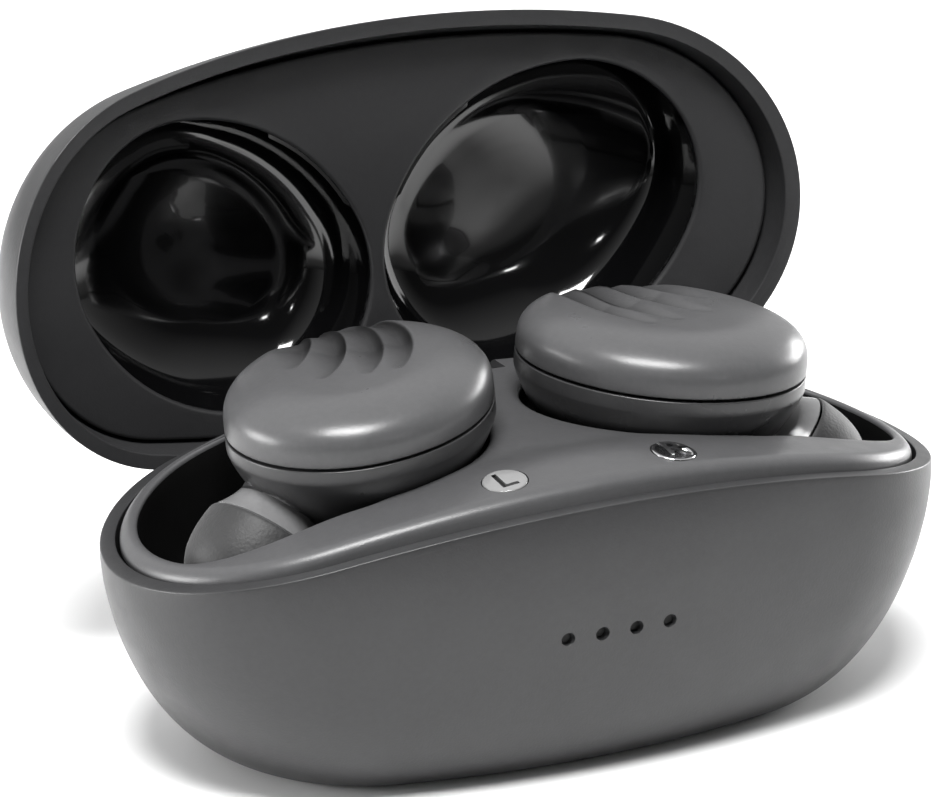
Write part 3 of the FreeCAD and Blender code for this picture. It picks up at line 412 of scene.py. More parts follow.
def surface_material(
    name, colour, roughness, *, metallic=0.0, grain=0.25, bump=0.0, mottle=0.05, rough_spread=0.08,
    coat=0.0, coat_roughness=0.05, specular=0.5, sheen=0.0, shaded_by=None, shade_depth=0.8,
):
    """A material with fine moulded grain, slight colour mottling and uneven gloss, and with painted
    shade where shaded_by names a mesh attribute.
    """
    material = bpy.data.materials.new(name)
    material.use_nodes = True
    nodes, links = material.node_tree.nodes, material.node_tree.links
    shader = nodes["Principled BSDF"]
    set_inputs(
        shader, Metallic=metallic, Specular_IOR_Level=specular, Coat_Weight=coat,
        Coat_Roughness=coat_roughness, Sheen_Weight=sheen,
    )
    place = nodes.new("ShaderNodeTexCoord").outputs["Object"]

    def noise(size, detail):
        texture = nodes.new("ShaderNodeTexNoise")
        set_inputs(texture, Scale=1 / (size * MM), Detail=detail)
        links.new(place, texture.inputs["Vector"])
        return texture.outputs["Fac"]

    tint = nodes.new("ShaderNodeValToRGB")
    for stop, part in zip(tint.color_ramp.elements, (1 - mottle, 1 + mottle)):
        stop.color = (*[min(1.0, channel * part) for channel in colour], 1)
    tint.color_ramp.elements[0].position = 0.3
    tint.color_ramp.elements[1].position = 0.7
    links.new(noise(grain * 3, 4.0), tint.inputs["Fac"])
    colours = tint.outputs["Color"]
    # Painted shade: a mesh attribute darkens the base colour by up to shade_depth.
    if shaded_by:
        amount = nodes.new("ShaderNodeAttribute")
        amount.attribute_name = shaded_by
        depth = nodes.new("ShaderNodeMapRange")
        set_inputs(depth, To_Min=1, To_Max=1 - shade_depth)
        links.new(amount.outputs["Fac"], depth.inputs["Value"])
        darker = nodes.new("ShaderNodeVectorMath")
        darker.operation = "SCALE"
        links.new(colours, darker.inputs["Vector"])
        links.new(depth.outputs["Result"], darker.inputs["Scale"])
        colours = darker.outputs["Vector"]
    links.new(colours, shader.inputs["Base Color"])

    gloss = nodes.new("ShaderNodeMapRange")
    dull, shiny = min(1.0, roughness + rough_spread / 2), max(0.0, roughness - rough_spread / 2)
    set_inputs(gloss, From_Min=0.3, From_Max=0.7, To_Min=shiny, To_Max=dull)
    links.new(noise(4.0, 3.0), gloss.inputs["Value"])
    links.new(gloss.outputs["Result"], shader.inputs["Roughness"])

    if bump:
        relief = nodes.new("ShaderNodeBump")
        set_inputs(relief, Strength=bump, Distance=grain * MM * 0.25)
        links.new(noise(grain, 2.0), relief.inputs["Height"])
        links.new(relief.outputs["Normal"], shader.inputs["Normal"])
    return material


LOOKS = {
    "shell_plastic": dict(
        colour=(0.024, 0.024, 0.025), roughness=0.40, grain=0.22, bump=0.30, mottle=0.07
    ),
    "tray_plastic": dict(colour=(0.064, 0.064, 0.066), roughness=0.34, grain=0.20, bump=0.25),
    "liner_plastic": dict(colour=(0.022, 0.022, 0.023), roughness=0.36, grain=0.20, bump=0.25),
    "cup_gloss": dict(
        colour=(0.0022, 0.0022, 0.0024), roughness=0.09, grain=0.6, mottle=0.03, rough_spread=0.02,
        coat=0.5, coat_roughness=0.02,
    ),
    "bud_plastic": dict(colour=(0.036, 0.036, 0.037), roughness=0.30, grain=0.18, bump=0.18),
    # The cap's colour is darkened in its scoops by painted shade.
    "cap_plastic": dict(
        colour=(0.070, 0.070, 0.072), roughness=0.31, grain=0.18, bump=0.18,
        shaded_by="scoop_painted_shade", shade_depth=0.93,
    ),
    # A lighter grey that stands in for the highlight on the neck's flare: painted highlight.
    "collar_painted_highlight": dict(colour=(0.15, 0.15, 0.152), roughness=0.22, grain=0.18, bump=0.1),
    "tip_rubber": dict(
        colour=(0.012, 0.012, 0.0125), roughness=0.60, grain=0.30, bump=0.5, mottle=0.16, sheen=0.15
    ),
    "mark_plastic": dict(
        colour=(0.20, 0.20, 0.20), roughness=0.22, grain=0.3, bump=0.05, mottle=0.03, coat=0.6
    ),
    "mark_metal": dict(
        colour=(0.62, 0.62, 0.63), roughness=0.16, metallic=1.0, grain=0.3, bump=0.05, mottle=0.04
    ),
    "steel": dict(
        colour=(0.45, 0.45, 0.46), roughness=0.30, metallic=1.0, grain=0.15, bump=0.2, mottle=0.08
    ),
    "magnet_steel": dict(
        colour=(0.55, 0.55, 0.56), roughness=0.24, metallic=1.0, grain=0.4, bump=0.1
    ),
    "gold_plate": dict(
        colour=(0.80, 0.58, 0.24), roughness=0.22, metallic=1.0, grain=0.2, bump=0.1, mottle=0.06
    ),
    "circuit_board": dict(
        colour=(0.010, 0.070, 0.030), roughness=0.35, grain=0.5, bump=0.3, mottle=0.25, coat=0.3
    ),
    "chip_plastic": dict(
        colour=(0.012, 0.012, 0.012), roughness=0.55, grain=0.15, bump=0.4, mottle=0.15
    ),
    "battery_foil": dict(
        colour=(0.40, 0.40, 0.42), roughness=0.36, metallic=0.6, grain=1.2, bump=0.5, mottle=0.08
    ),
    "foam_tape": dict(colour=(0.018, 0.018, 0.018), roughness=0.9, grain=0.4, bump=0.9, mottle=0.3),
    "lead_plastic": dict(
        colour=(0.30, 0.015, 0.012), roughness=0.42, grain=0.3, bump=0.2, mottle=0.06
    ),
    # Near black, so the light holes read dark: painted shade for the inside of the holes.
    "light_guide": dict(
        colour=(0.008, 0.008, 0.008), roughness=0.40, grain=0.3, bump=0.1, specular=0.2
    ),
    "hinge_plastic": dict(
        colour=(0.040, 0.040, 0.041), roughness=0.45, grain=0.22, bump=0.3, mottle=0.07
    ),
    "mark_ink": dict(
        colour=(0.012, 0.012, 0.012), roughness=0.5, grain=0.2, bump=0.2, mottle=0.1, specular=0.25
    ),
    # Near-black painted shade for the insides of the nests.
    "nest_painted_shade": dict(
        colour=(0.004, 0.004, 0.004), roughness=0.55, grain=0.2, bump=0.2, mottle=0.1, specular=0.25
    ),
}
MATERIALS = {name: surface_material(name, **look) for name, look in LOOKS.items()}

# ---- base shell and lid shell -----------------------------------------------------------------

OUTER_RINGS, INNER_RINGS = pebble_rings(0.0), pebble_rings(WALL)
FLAT_PARTS = (0.25, 0.5, 0.75)
RIM_ROUND = 0.15
RIM_MARGIN = 3
LED_BEVEL, LED_CUT, LED_BEVEL_SPAN = 0.12, (-22, -17), (-20.33, -20.1)


def shell_rows(rings, rim_rows, end_row, count):
    """Rows of one side of a shell, from its flat end to just short of its rim."""
    flat = ring_at(rings, end_row)
    rows = flat_rings(flat, FLAT_PARTS)
    stop = rim_rows + (RIM_MARGIN if end_row > 0 else -RIM_MARGIN)
    for part in np.linspace(0, 1, count):
        rows.append(ring_at(rings, end_row + (stop - end_row) * part))
    return rows


def shell(rim_surface, end_row, count):
    """A half of the case: outside, rounded rim and inside, as one run of rings."""
    sides = []
    for rings in (OUTER_RINGS, INNER_RINGS):
        rim_rows = crossing(rings, rim_surface)
        sides.append((shell_rows(rings, rim_rows, end_row, count), ring_at(rings, rim_rows)))
    (outer, outer_rim), (inner, inner_rim) = sides
    rim = rounded(outer[-1], outer_rim, inner_rim, RIM_ROUND)
    rim += rounded(outer_rim, inner_rim, inner[-1], RIM_ROUND)
    return np.array(outer + rim + inner[::-1])


def y_rod(name, profile, x, z):
    """A turned cutter along Y."""
    place = Matrix.Translation((x, 0, z)) @ Matrix.Rotation(-math.pi / 2, 4, "X")
    return round_rod(name, profile, place)


def prism(name, outline, low, high, place):
    """A cutter with an outline in its own XY plane."""
    vertices, faces = skin([level_ring(outline, level) for level in (low, high)])
    return cutter(name, placed(np.array(vertices), place), faces)


def base_shell():
    """The lower half, with its four light holes, its socket and the notch for the hinge."""
    rings = shell(base_rim, 0, 70)
    obj = piece("case_base", *skin(rings), "base", "shell_plastic")
    wide = LED_RADIUS + LED_BEVEL
    profile = (
        (wide, LED_CUT[0]), (wide, LED_BEVEL_SPAN[0]), (LED_RADIUS, LED_BEVEL_SPAN[1]),
        (LED_RADIUS, LED_CUT[1]),
    )
    holes = [y_rod(f"led_hole{n}", profile, (n - 1.5) * LED_PITCH, LED_HEIGHT) for n in range(4)]
    slot_outline = oval(USB_HALF_WIDTH, USB_RADIUS, USB_RADIUS - 0.02, 20, 4)
    y_place = Matrix.Translation((0, 0, USB_HEIGHT)) @ Matrix.Rotation(-math.pi / 2, 4, "X")
    socket = prism("usb_cut", slot_outline, *USB_CUT, y_place)
    notch = box_mesh(
        "notch_cut", (-ARM_HALF_WIDTH, ARM_HALF_WIDTH), (ARM_START, BACK_OF_CUTS),
        (HINGE_Z - ARM_DROP, TOP_OF_CUTS),
    )
    cut_away(obj, *holes, socket, notch)
    return finish_piece(obj, "base_shell")


def lid_shell():
    """The upper half, turned open about the hinge."""
    rings = opened(shell(lid_rim, RING_COUNT - 1, 60))
    obj = piece("case_lid", *skin(rings), "lid", "shell_plastic")
    return finish_piece(obj, "lid_shell")


# ---- tray: deck, rounded lip, skirt and the two nests ------------------------------------------

LIP, NEST_EDGE, TRAY_WALL, SKIRT_FOOT = 1.0, 0.45, 0.7, 20.0
DECK_STEP = 1.1
NEST_RAYS = 220
NEST_CENTRE = (-21.0, -1.0)
WELL_X, WELL_HALF_LENGTH, WELL_HALF_WIDTH = 14.5, 12.35, 10.75
WELL_TUCK, WELL_BLEND = 1.2, 2.0
POCKET_OFFSET, POCKET_FRONT, POCKET_INSIDE = 3.4, -9.2, -19.0
POCKET_BLEND, INSIDE_BLEND = 5.0, 2.0
SLOPE_START, SLOPE_LENGTH = -16.5, 6
NEST_FLOOR_RINGS = ((0.985, 0.97), (0.94, 1.0), (0.6, 1.0), (0.25, 1.0))
SHADE_BELOW_DECK, SHADE_REACH = 0.9, 0.3
RECESS_GAP, RECESS_DEPTH, RECESS_TOP = 0.1, 0.62, 2
EAR_HALF_WIDTH, EAR_START, EAR_RISE = 10, 12.8, 2.6


def soft_max(a, b, reach):
    """The larger of two fields, rounded off where they are close."""
    near = np.clip(reach - np.abs(a - b), 0, None) / reach
    return np.maximum(a, b) + near**2 * reach / 4


def nest_field(x, y):
    """About the distance outside the left nest's mouth, negative inside it."""
    cos, sin = math.cos(BUD_TURN), math.sin(BUD_TURN)
    dx, dy = x + WELL_X, y - BUD_Y
    well = oval_distance(
        dx * cos + dy * sin, dy * cos - dx * sin, WELL_HALF_LENGTH, WELL_HALF_WIDTH,
        WELL_HALF_WIDTH - WELL_TUCK,
    )
    offset = POCKET_OFFSET
    pocket = oval_distance(x, y, HALF_LENGTH - offset, HALF_DEPTH - offset, END_RADIUS - offset)
    pocket = soft_max(pocket, POCKET_FRONT - y, POCKET_BLEND)
    pocket = soft_max(pocket, x - POCKET_INSIDE, INSIDE_BLEND)
    return -soft_max(-well, -pocket, WELL_BLEND)


def nest_outline(level):
    """The left nest's mouth, grown outwards by a level."""
    angles = np.linspace(0, 2 * math.pi, NEST_RAYS, endpoint=False)
    low, high = np.zeros(NEST_RAYS), np.full(NEST_RAYS, 30.0)
    for _ in range(40):
        middle = (low + high) / 2
        x = NEST_CENTRE[0] + middle * np.cos(angles)
        y = NEST_CENTRE[1] + middle * np.sin(angles)
        inside = nest_field(x, y) < level
        low, high = np.where(inside, middle, low), np.where(inside, high, middle)
    return np.column_stack((x, y))


def on_surface(outline, surface, drop=0.0):
    """An outline laid on a surface, or a drop below it."""
    height = surface(outline[:, 0], outline[:, 1]) - drop
    return np.column_stack((outline, height))


def quarter(radius, steps=6):
    """Inset and drop round a quarter circle, from a flat top to an upright side."""
    angles = np.linspace(0, math.pi / 2, steps + 1)
    return [(radius * (1 - math.sin(a)), radius * (1 - math.cos(a))) for a in angles]


def nest_rings():
    """The left nest from its rounded mouth down its walls to its floors."""
    rings = [
        on_surface(nest_outline(inset), deck, drop) for inset, drop in quarter(NEST_EDGE, 5)
    ]
    mouth = rings[-1]
    deep = np.clip((SLOPE_START - mouth[:, 0]) / SLOPE_LENGTH, 0, 1)
    floor = NEST_FLOOR + (TIP_FLOOR - NEST_FLOOR) * deep * deep * (3 - 2 * deep)
    centre = np.array([*NEST_CENTRE, 0.0])
    for part in np.linspace(0.15, 0.9, 6):
        ring = mouth.copy()
        ring[:, 2] = mouth[:, 2] + (floor - mouth[:, 2]) * part
        rings.append(ring)
    for part, level in NEST_FLOOR_RINGS:
        ring = centre + (mouth - centre) * part
        ring[:, 2] = mouth[:, 2] + (floor - mouth[:, 2]) * level
        rings.append(ring)
    return np.array(rings)


def filled(outer, holes, inside, surface, step):
    """Triangles over a sheet between an outer loop and holes, with evenly spread points."""
    loops = [outer[:, :2]] + [hole[:, :2] for hole in holes]
    points, edges = [], []
    for loop in loops:
        start = len(points)
        points += [Vector(p) for p in loop]
        edges += [(start + i, start + (i + 1) % len(loop)) for i in range(len(loop))]
    for row, y in enumerate(np.arange(-HALF_DEPTH, HALF_DEPTH, step * 0.87)):
        for x in np.arange(-HALF_LENGTH, HALF_LENGTH, step) + (row % 2) * step / 2:
            if inside(x, y) < -step * 0.5:
                points.append(Vector((x, y)))
    corners, _, triangles, *_ = delaunay_2d_cdt(points, edges, [], 0, 1e-5)
    corners = np.array([tuple(c) for c in corners])
    middles = np.array([corners[list(t)].mean(axis=0) for t in triangles])
    keep = inside(middles[:, 0], middles[:, 1]) < 0
    faces = [tuple(t) for t, wanted in zip(triangles, keep) if wanted]
    return on_surface(corners, surface), faces


def joined(*meshes):
    """Several vertex and face lists as one."""
    vertices, faces = [], []
    for points, loops in meshes:
        start = len(vertices)
        vertices += [tuple(p) for p in points]
        faces += [tuple(start + corner for corner in face) for face in loops]
    return vertices, faces


def loop_area_test(outer, holes):
    """A function that is negative between an outer loop and its holes."""

    def winding(loop, x, y):
        ax, ay = loop[:, 0, None], loop[:, 1, None]
        bx, by = np.roll(loop[:, 0], -1)[:, None], np.roll(loop[:, 1], -1)[:, None]
        px, py = np.ravel(x)[None, :], np.ravel(y)[None, :]
        spans = (ay > py) != (by > py)
        reach = (bx - ax) * (py - ay) / np.where(by == ay, 1e-12, by - ay) + ax
        inside = (np.sum(spans & (px < reach), axis=0) % 2) == 1
        edge_x, edge_y = bx - ax, by - ay
        t = np.clip(((px - ax) * edge_x + (py - ay) * edge_y) / (edge_x**2 + edge_y**2), 0, 1)
        away = np.min(np.hypot(ax + t * edge_x - px, ay + t * edge_y - py), axis=0)
        return np.where(inside, -away, away)

    def field(x, y):
        value = winding(outer, x, y)
        for hole in holes:
            value = np.maximum(value, -winding(hole, x, y))
        return value if np.ndim(x) else float(value[0])

    return field


def mark_place(side):
    """The frame of a side mark: on the deck and square to it."""
    x, step = side * MARK_X, 0.5
    slope_x = float(deck(x + step, MARK_Y) - deck(x - step, MARK_Y)) / (2 * step)
    slope_y = float(deck(x, MARK_Y + step) - deck(x, MARK_Y - step)) / (2 * step)
    across = Vector((1, 0, slope_x)).normalized()
    out = Vector((-slope_x, -slope_y, 1)).normalized()
    turn = Matrix((across, out.cross(across), out)).transposed().to_4x4()
    return Matrix.Translation((x, MARK_Y, float(deck(x, MARK_Y)))) @ turn


def tray():
    """The deck with its rounded lip and skirt, and both nests, as one moulding."""
    lip_rings = []
    for inset, drop in quarter(LIP, 7):
        rings = pebble_rings(TRAY_OFFSET + inset)
        lip_rings.append(ring_at(rings, crossing(rings, lowered(deck, drop))))
    side = pebble_rings(TRAY_OFFSET)
    top_row = crossing(side, lowered(deck, LIP))
    bottom_row = crossing(side, lambda x, y: SKIRT_FOOT + 0 * x)
    for part in np.linspace(0.15, 1, 8):
        lip_rings.append(ring_at(side, top_row + (bottom_row - top_row) * part))
    left = nest_rings()
    right = mirrored(left)
    outer, holes = lip_rings[0], [left[0], right[0]]
    field = loop_area_test(outer[:, :2], [hole[:, :2] for hole in holes])
    sheet = filled(outer, holes, field, deck, DECK_STEP)
    skirt = skin(lip_rings, close_first=False, close_last=False)
    nests = [skin(rings, close_first=False) for rings in (left, right)]
    obj = piece(
        "nest_tray", *joined(sheet, skirt, *nests), "base", "tray_plastic", weld=0.002
    )
    # The second material is painted shade for the nests' insides, below the deck.
    obj.data.materials.append(MATERIALS["nest_painted_shade"])
    face_up(obj)
    paint_nest_shade(obj, SHADE_BELOW_DECK)
    thicken(obj, TRAY_WALL)
    wide = MARK_RADIUS + RECESS_GAP
    recess = ((wide, -RECESS_DEPTH), (wide, RECESS_TOP))
    recesses = [round_rod(f"mark_cut{side}", recess, mark_place(side), 64) for side in (-1, 1)]
    ears = box_mesh(
        "ear_cut", (-EAR_HALF_WIDTH, EAR_HALF_WIDTH), (EAR_START, BACK_OF_CUTS),
        (0, HINGE_Z + EAR_RISE),
    )
    arm = box_mesh(
        "arm_cut", (-ARM_HALF_WIDTH, ARM_HALF_WIDTH), (ARM_START, BACK_OF_CUTS), (0, TOP_OF_CUTS)
    )
    cut_away(obj, *recesses, ears, arm)
    return finish_piece(obj, "cradle")


def face_up(obj):
    """Turns every normal of a welded sheet so that its deck faces up."""
    mesh = obj.data
    highest = max(mesh.polygons, key=lambda p: p.center.z)
    if highest.normal.z < 0:
        mesh.flip_normals()


def paint_nest_shade(obj, depth):
    """Gives the nests' insides their second material, a near-black painted shade."""
    for polygon in obj.data.polygons:
        x, y, z = (value / MM for value in polygon.center)
        inside = float(nest_field(np.array(-abs(x)), np.array(y))) < SHADE_REACH
        if inside and z < float(deck(x, y)) - depth:
            polygon.material_index = 1


# ---- lid liner and cups -----------------------------------------------------------------------

CUP_EDGE, CUP_TUCK, CUP_STEPS, CUP_CLEARANCE = 0.4, 1.3, 30, 0.05
LINER_EDGE, LINER_WALL, LINER_SIDE_ROWS = 0.4, 0.35, 9
LINER_NOTCH_START = 14.2
BETWEEN_CUPS_Y = -12.0


def cup_outline(grow):
    """The left cup's outline in plan, grown by a distance."""
    half_width = CUP_HALF_WIDTH + grow
    outline = oval(CUP_HALF_LENGTH + grow, half_width, half_width - CUP_TUCK, 44, 56)
    return turned(outline, BUD_TURN) + np.array([-CUP_X, CUP_Y])


def liner():
    """The lid's satin lining round the cups, with a dark groove between it and the shell."""
    edge_rings = []
    for inset, drop in quarter(LINER_EDGE, 4):
        rings = pebble_rings(LINER_OFFSET + inset)
        edge_rings.append(ring_at(rings, crossing(rings, lowered(liner_face, -drop))))
    side = pebble_rings(LINER_OFFSET)
    low_row = crossing(side, lowered(liner_face, -LINER_EDGE))
    for part in (0.5, 1.0):
        edge_rings.append(ring_at(side, low_row + LINER_SIDE_ROWS * part))
    mouths = []
    for inset, drop in quarter(CUP_EDGE, 5):
        mouths.append(on_surface(cup_outline(inset), liner_face, -drop))
    mouths.append(mouths[-1] + np.array([0, 0, 0.5]))
    left = np.array(mouths)
    right = mirrored(left)
    outer, holes = edge_rings[0], [left[0], right[0]]
    field = loop_area_test(outer[:, :2], [hole[:, :2] for hole in holes])
    sheet = filled(outer, holes, field, liner_face, DECK_STEP)
    parts = [
        skin(rings, close_first=False, close_last=False) for rings in (edge_rings, left, right)
    ]
    obj = piece("lid_lining", *joined(sheet, *parts), "lid", "liner_plastic", weld=0.002)
    mesh = obj.data
    between_cups = Vector((0, BETWEEN_CUPS_Y * MM))
    nearest = min(mesh.polygons, key=lambda p: sum(abs(d) for d in p.center.xy - between_cups))
    if nearest.normal.z > 0:
        mesh.flip_normals()
    clear_notch(obj, ARM_HALF_WIDTH, LINER_NOTCH_START)
    mesh.transform(open_matrix())
    thicken(obj, LINER_WALL)
    return finish_piece(obj, "lid_liner")


def clear_notch(obj, half_width, start):
    """Takes a square notch out of a sheet at its hinge side."""
    work = bmesh.new()
    work.from_mesh(obj.data)
    cuts = (((-half_width, 0), (1, 0)), ((half_width, 0), (1, 0)), ((0, start), (0, 1)))
    for (x, y), (along_x, along_y) in cuts:
        everything = work.verts[:] + work.edges[:] + work.faces[:]
        bmesh.ops.bisect_plane(
            work, geom=everything, plane_co=(x * MM, y * MM, 0), plane_no=(along_x, along_y, 0)
        )
    middles = [(face, face.calc_center_median()) for face in work.faces]
    gone = [f for f, c in middles if abs(c.x) < half_width * MM and c.y > start * MM]
    bmesh.ops.delete(work, geom=gone, context="FACES")
    work.to_mesh(obj.data)
    work.free()


def cup_rings():
    """The left cup as a bowl, drawn closed, from its mouth to its crown."""
    mouth = cup_outline(0)
    rim = liner_face(mouth[:, 0], mouth[:, 1]) + CUP_EDGE
    rings = [np.column_stack((mouth, rim + (CUP_SPRING - rim) * part)) for part in (0, 0.5)]
    for inset, rise in shoulder(CUP_STEPS, CUP_FULLNESS):
        outline = cup_outline(-CUP_INSET * inset)
        rings.append(level_ring(outline, CUP_SPRING + rise * (CUP_CROWN - CUP_SPRING)))
    rings += flat_rings(rings[-1], (0.8, 0.6, 0.4, 0.2))
    rings = np.array(rings)
    ceiling = lid_ceiling(rings[..., 0], rings[..., 1], WALL + CUP_WALL + CUP_CLEARANCE)
    rings[..., 2] = -soft_max(-rings[..., 2], -ceiling, 1.0)
    return rings


def cup(side):
    """One glossy cup in the lid."""
    rings = cup_rings()
    if side == "right":
        rings = mirrored(rings)
    vertices, faces = skin(opened(rings), close_first=False)
    obj = piece(f"cup_{side}", vertices, faces, "lid", "cup_gloss")
    mesh = obj.data
    deepest = max(mesh.polygons, key=lambda p: p.center.y)
    if deepest.normal.y > 0:
        mesh.flip_normals()
    thicken(obj, CUP_WALL)
    return finish_piece(obj, f"lid_cup_{side}")


# ---- earbuds ----------------------------------------------------------------------------------

BUD_PLACE = (
    Matrix.Translation((-BUD_X, BUD_Y, BUD_Z))
    @ Matrix.Rotation(-BUD_TILT, 4, "Y")
    @ Matrix.Rotation(BUD_TURN, 4, "Z")
)
SIDE_BAND, SEAM_INSET, SEAM_EDGE, EDGE_ROUND = 0.6, 1.2, 0.4, 0.14
BUD_TUCK, BAND_END = 1.0, -0.8
CAP_AROUND, CAP_STEPS, CAP_TOP_RINGS = (74, 96), 64, 42
HOUSING_STEPS, HOUSING_TUCK_LIMIT = 40, 10.4
COLLAR_START, COLLAR_REACH = 9.2, 5.7
SCOOP_FADE = 2.0
RIDGE_ENDS = (
    ((-20.6, 3.8), (-15.5, 12.5)),
    ((-19.2, 0.1), (-13.4, 10.2)),
    ((-15.4, -1.3), (-10.7, 8.6)),
    ((-12.6, -1.9), (-8.2, 8.8)),
)
# RIDGE_SHADE sets how far the painted shade reaches out from each scoop's wall.
RIDGE_RADIUS, RIDGE_DEPTH, RIDGE_WALL, RIDGE_REACH, RIDGE_SHADE = 14.0, 0.8, 1.2, 4.2, 1.4
RIDGE_START, RIDGE_FINISH, RIDGE_FINISH_FADE, RIDGE_EDGE = 0.55, 1.45, 0.3, 0.12


def bud_oval(shrink, around=(END_STEPS, SIDE_STEPS)):
    """The earbud's outline in its own plane, shrunk by a distance."""
    half_width = BUD_HALF_WIDTH - shrink
    return oval(BUD_HALF_LENGTH - shrink, half_width, half_width - BUD_TUCK, *around)


def for_side(points, side, place=BUD_PLACE):
    """Points drawn for the left earbud, in place on either side."""
    points = placed(np.asarray(points), place)
    return mirrored(points) if side == "right" else points


def ridges(x, y):
    """Depth and painted shade of the four crescent scoops at points of the left cap, in plan."""
    depth, shade = np.zeros(np.shape(x)), np.zeros(np.shape(x))
    for (x0, y0), (x1, y1) in RIDGE_ENDS:
        chord = math.hypot(x1 - x0, y1 - y0)
        ux, uy = (x1 - x0) / chord, (y1 - y0) / chord
        back = math.sqrt(RIDGE_RADIUS**2 - chord**2 / 4)
        cx, cy = (x0 + x1) / 2 - uy * back, (y0 + y1) / 2 + ux * back
        inside = np.maximum(RIDGE_RADIUS - np.hypot(x - cx, y - cy), 0)
        along = ((x - x0) * ux + (y - y0) * uy) / chord
        start = np.clip(along / RIDGE_START, 0, 1)
        finish = np.clip((RIDGE_FINISH - along) / RIDGE_FINISH_FADE, 0, 1)
        reach = RIDGE_REACH * (0.3 + 0.7 * start)
        wall = np.sin(np.clip(inside / (RIDGE_WALL * (0.4 + 0.6 * start)), 0, 1) * math.pi / 2)
        rise = np.clip(inside / reach, 0, 1)
        fade = (1 - rise**2) ** 2
        depth = np.maximum(depth, RIDGE_DEPTH * wall * fade * start**0.7 * finish)
        # Painted shade, darkest next to each scoop's steep wall and fading away from it.
        spread = RIDGE_SHADE * (0.5 + start)
        edge = np.clip(inside / RIDGE_EDGE, 0, 1) * np.exp(-((inside / spread) ** 1.3))
        shade = np.maximum(shade, edge * start**0.8 * finish)
    return depth, shade


def cap(side):
    """The press cap: upright sides, a soft shoulder and a nearly flat top with four scoops,
    darkened by painted shade.
    """
    low = GAP_LEVEL + HALF_GAP
    start = low + SIDE_BAND
    rings = [level_ring(bud_oval(SEAM_INSET, CAP_AROUND), low)]
    edge_base = level_ring(bud_oval(SEAM_EDGE, CAP_AROUND), low)
    corner = level_ring(bud_oval(0, CAP_AROUND), low)
    above = level_ring(bud_oval(0, CAP_AROUND), start)
    rings += rounded(edge_base, corner, above, EDGE_ROUND, 4)
    for inset, rise in shoulder(CAP_STEPS, CAP_FULLNESS):
        outline = bud_oval(CAP_INSET * inset, CAP_AROUND)
        rings.append(level_ring(outline, start + rise * (CAP_HEIGHT - start)))
    rings += flat_rings(rings[-1], np.linspace(0.97, 0.04, CAP_TOP_RINGS))
    vertices, faces = skin(rings)
    local = np.array(vertices)
    plan = placed(local, BUD_PLACE)
    top = np.clip((local[:, 2] - start) / SCOOP_FADE, 0, 1)
    depth, shade = ridges(plan[:, 0], plan[:, 1])
    local[:, 2] -= depth * top
    obj = piece(
        f"press_cap_{side}", for_side(local, side), faces, f"button_{side}", "bud_plastic",
        look="cap_plastic", crease=60,
    )
    # The scoops' painted shade, kept on the vertices for cap_plastic to darken its colour with.
    scoops = obj.data.attributes.new("scoop_painted_shade", "FLOAT", "POINT")
    scoops.data.foreach_set("value", (shade * top).astype(np.float32))
    return finish_piece(obj, f"earbud_cap_{side}")


NOZZLE_AXIS = Vector((
    -math.cos(NOZZLE_SLOPE) * math.cos(NOZZLE_YAW),
    -math.cos(NOZZLE_SLOPE) * math.sin(NOZZLE_YAW),
    -math.sin(NOZZLE_SLOPE),
))
NOZZLE_START = Vector((-BUD_X - NOZZLE_OUT, BUD_Y, BUD_Z - NOZZLE_DROP))
NOZZLE_TURN = NOZZLE_AXIS.to_track_quat("Z", "Y").to_matrix().to_4x4()
NOZZLE_PLACE = Matrix.Translation(NOZZLE_START) @ NOZZLE_TURN
NECK_CURVE = (
    (3.7, 4.3), (4.0, 6.2), (4.15, 8.2), (4.5, 9.6), (5.05, 10.7), (5.45, 11.3), (5.6, 11.55)
)
NECK_END = (
    (5.5, COLLAR_END), (2.6, COLLAR_END), (2.6, 18.1), (2.4, 18.3), (2.1, 18.3), (2.1, 17.9)
)


def smooth_profile(points, steps=5):
    """A Catmull-Rom curve through (radius, height) points."""
    points = np.array(points, dtype=float)
    padded = np.vstack((2 * points[0] - points[1], points, 2 * points[-1] - points[-2]))
    curve = []
    for i in range(1, len(padded) - 2):
        a, b, c, e = padded[i - 1], padded[i], padded[i + 1], padded[i + 2]
        for t in np.linspace(0, 1, steps, endpoint=False):
            curve.append(0.5 * (2 * b + (c - a) * t + (2 * a - 5 * b + 4 * c - e) * t**2
                                + (3 * b - a - 3 * c + e) * t**3))
    curve.append(points[-1])
    return curve


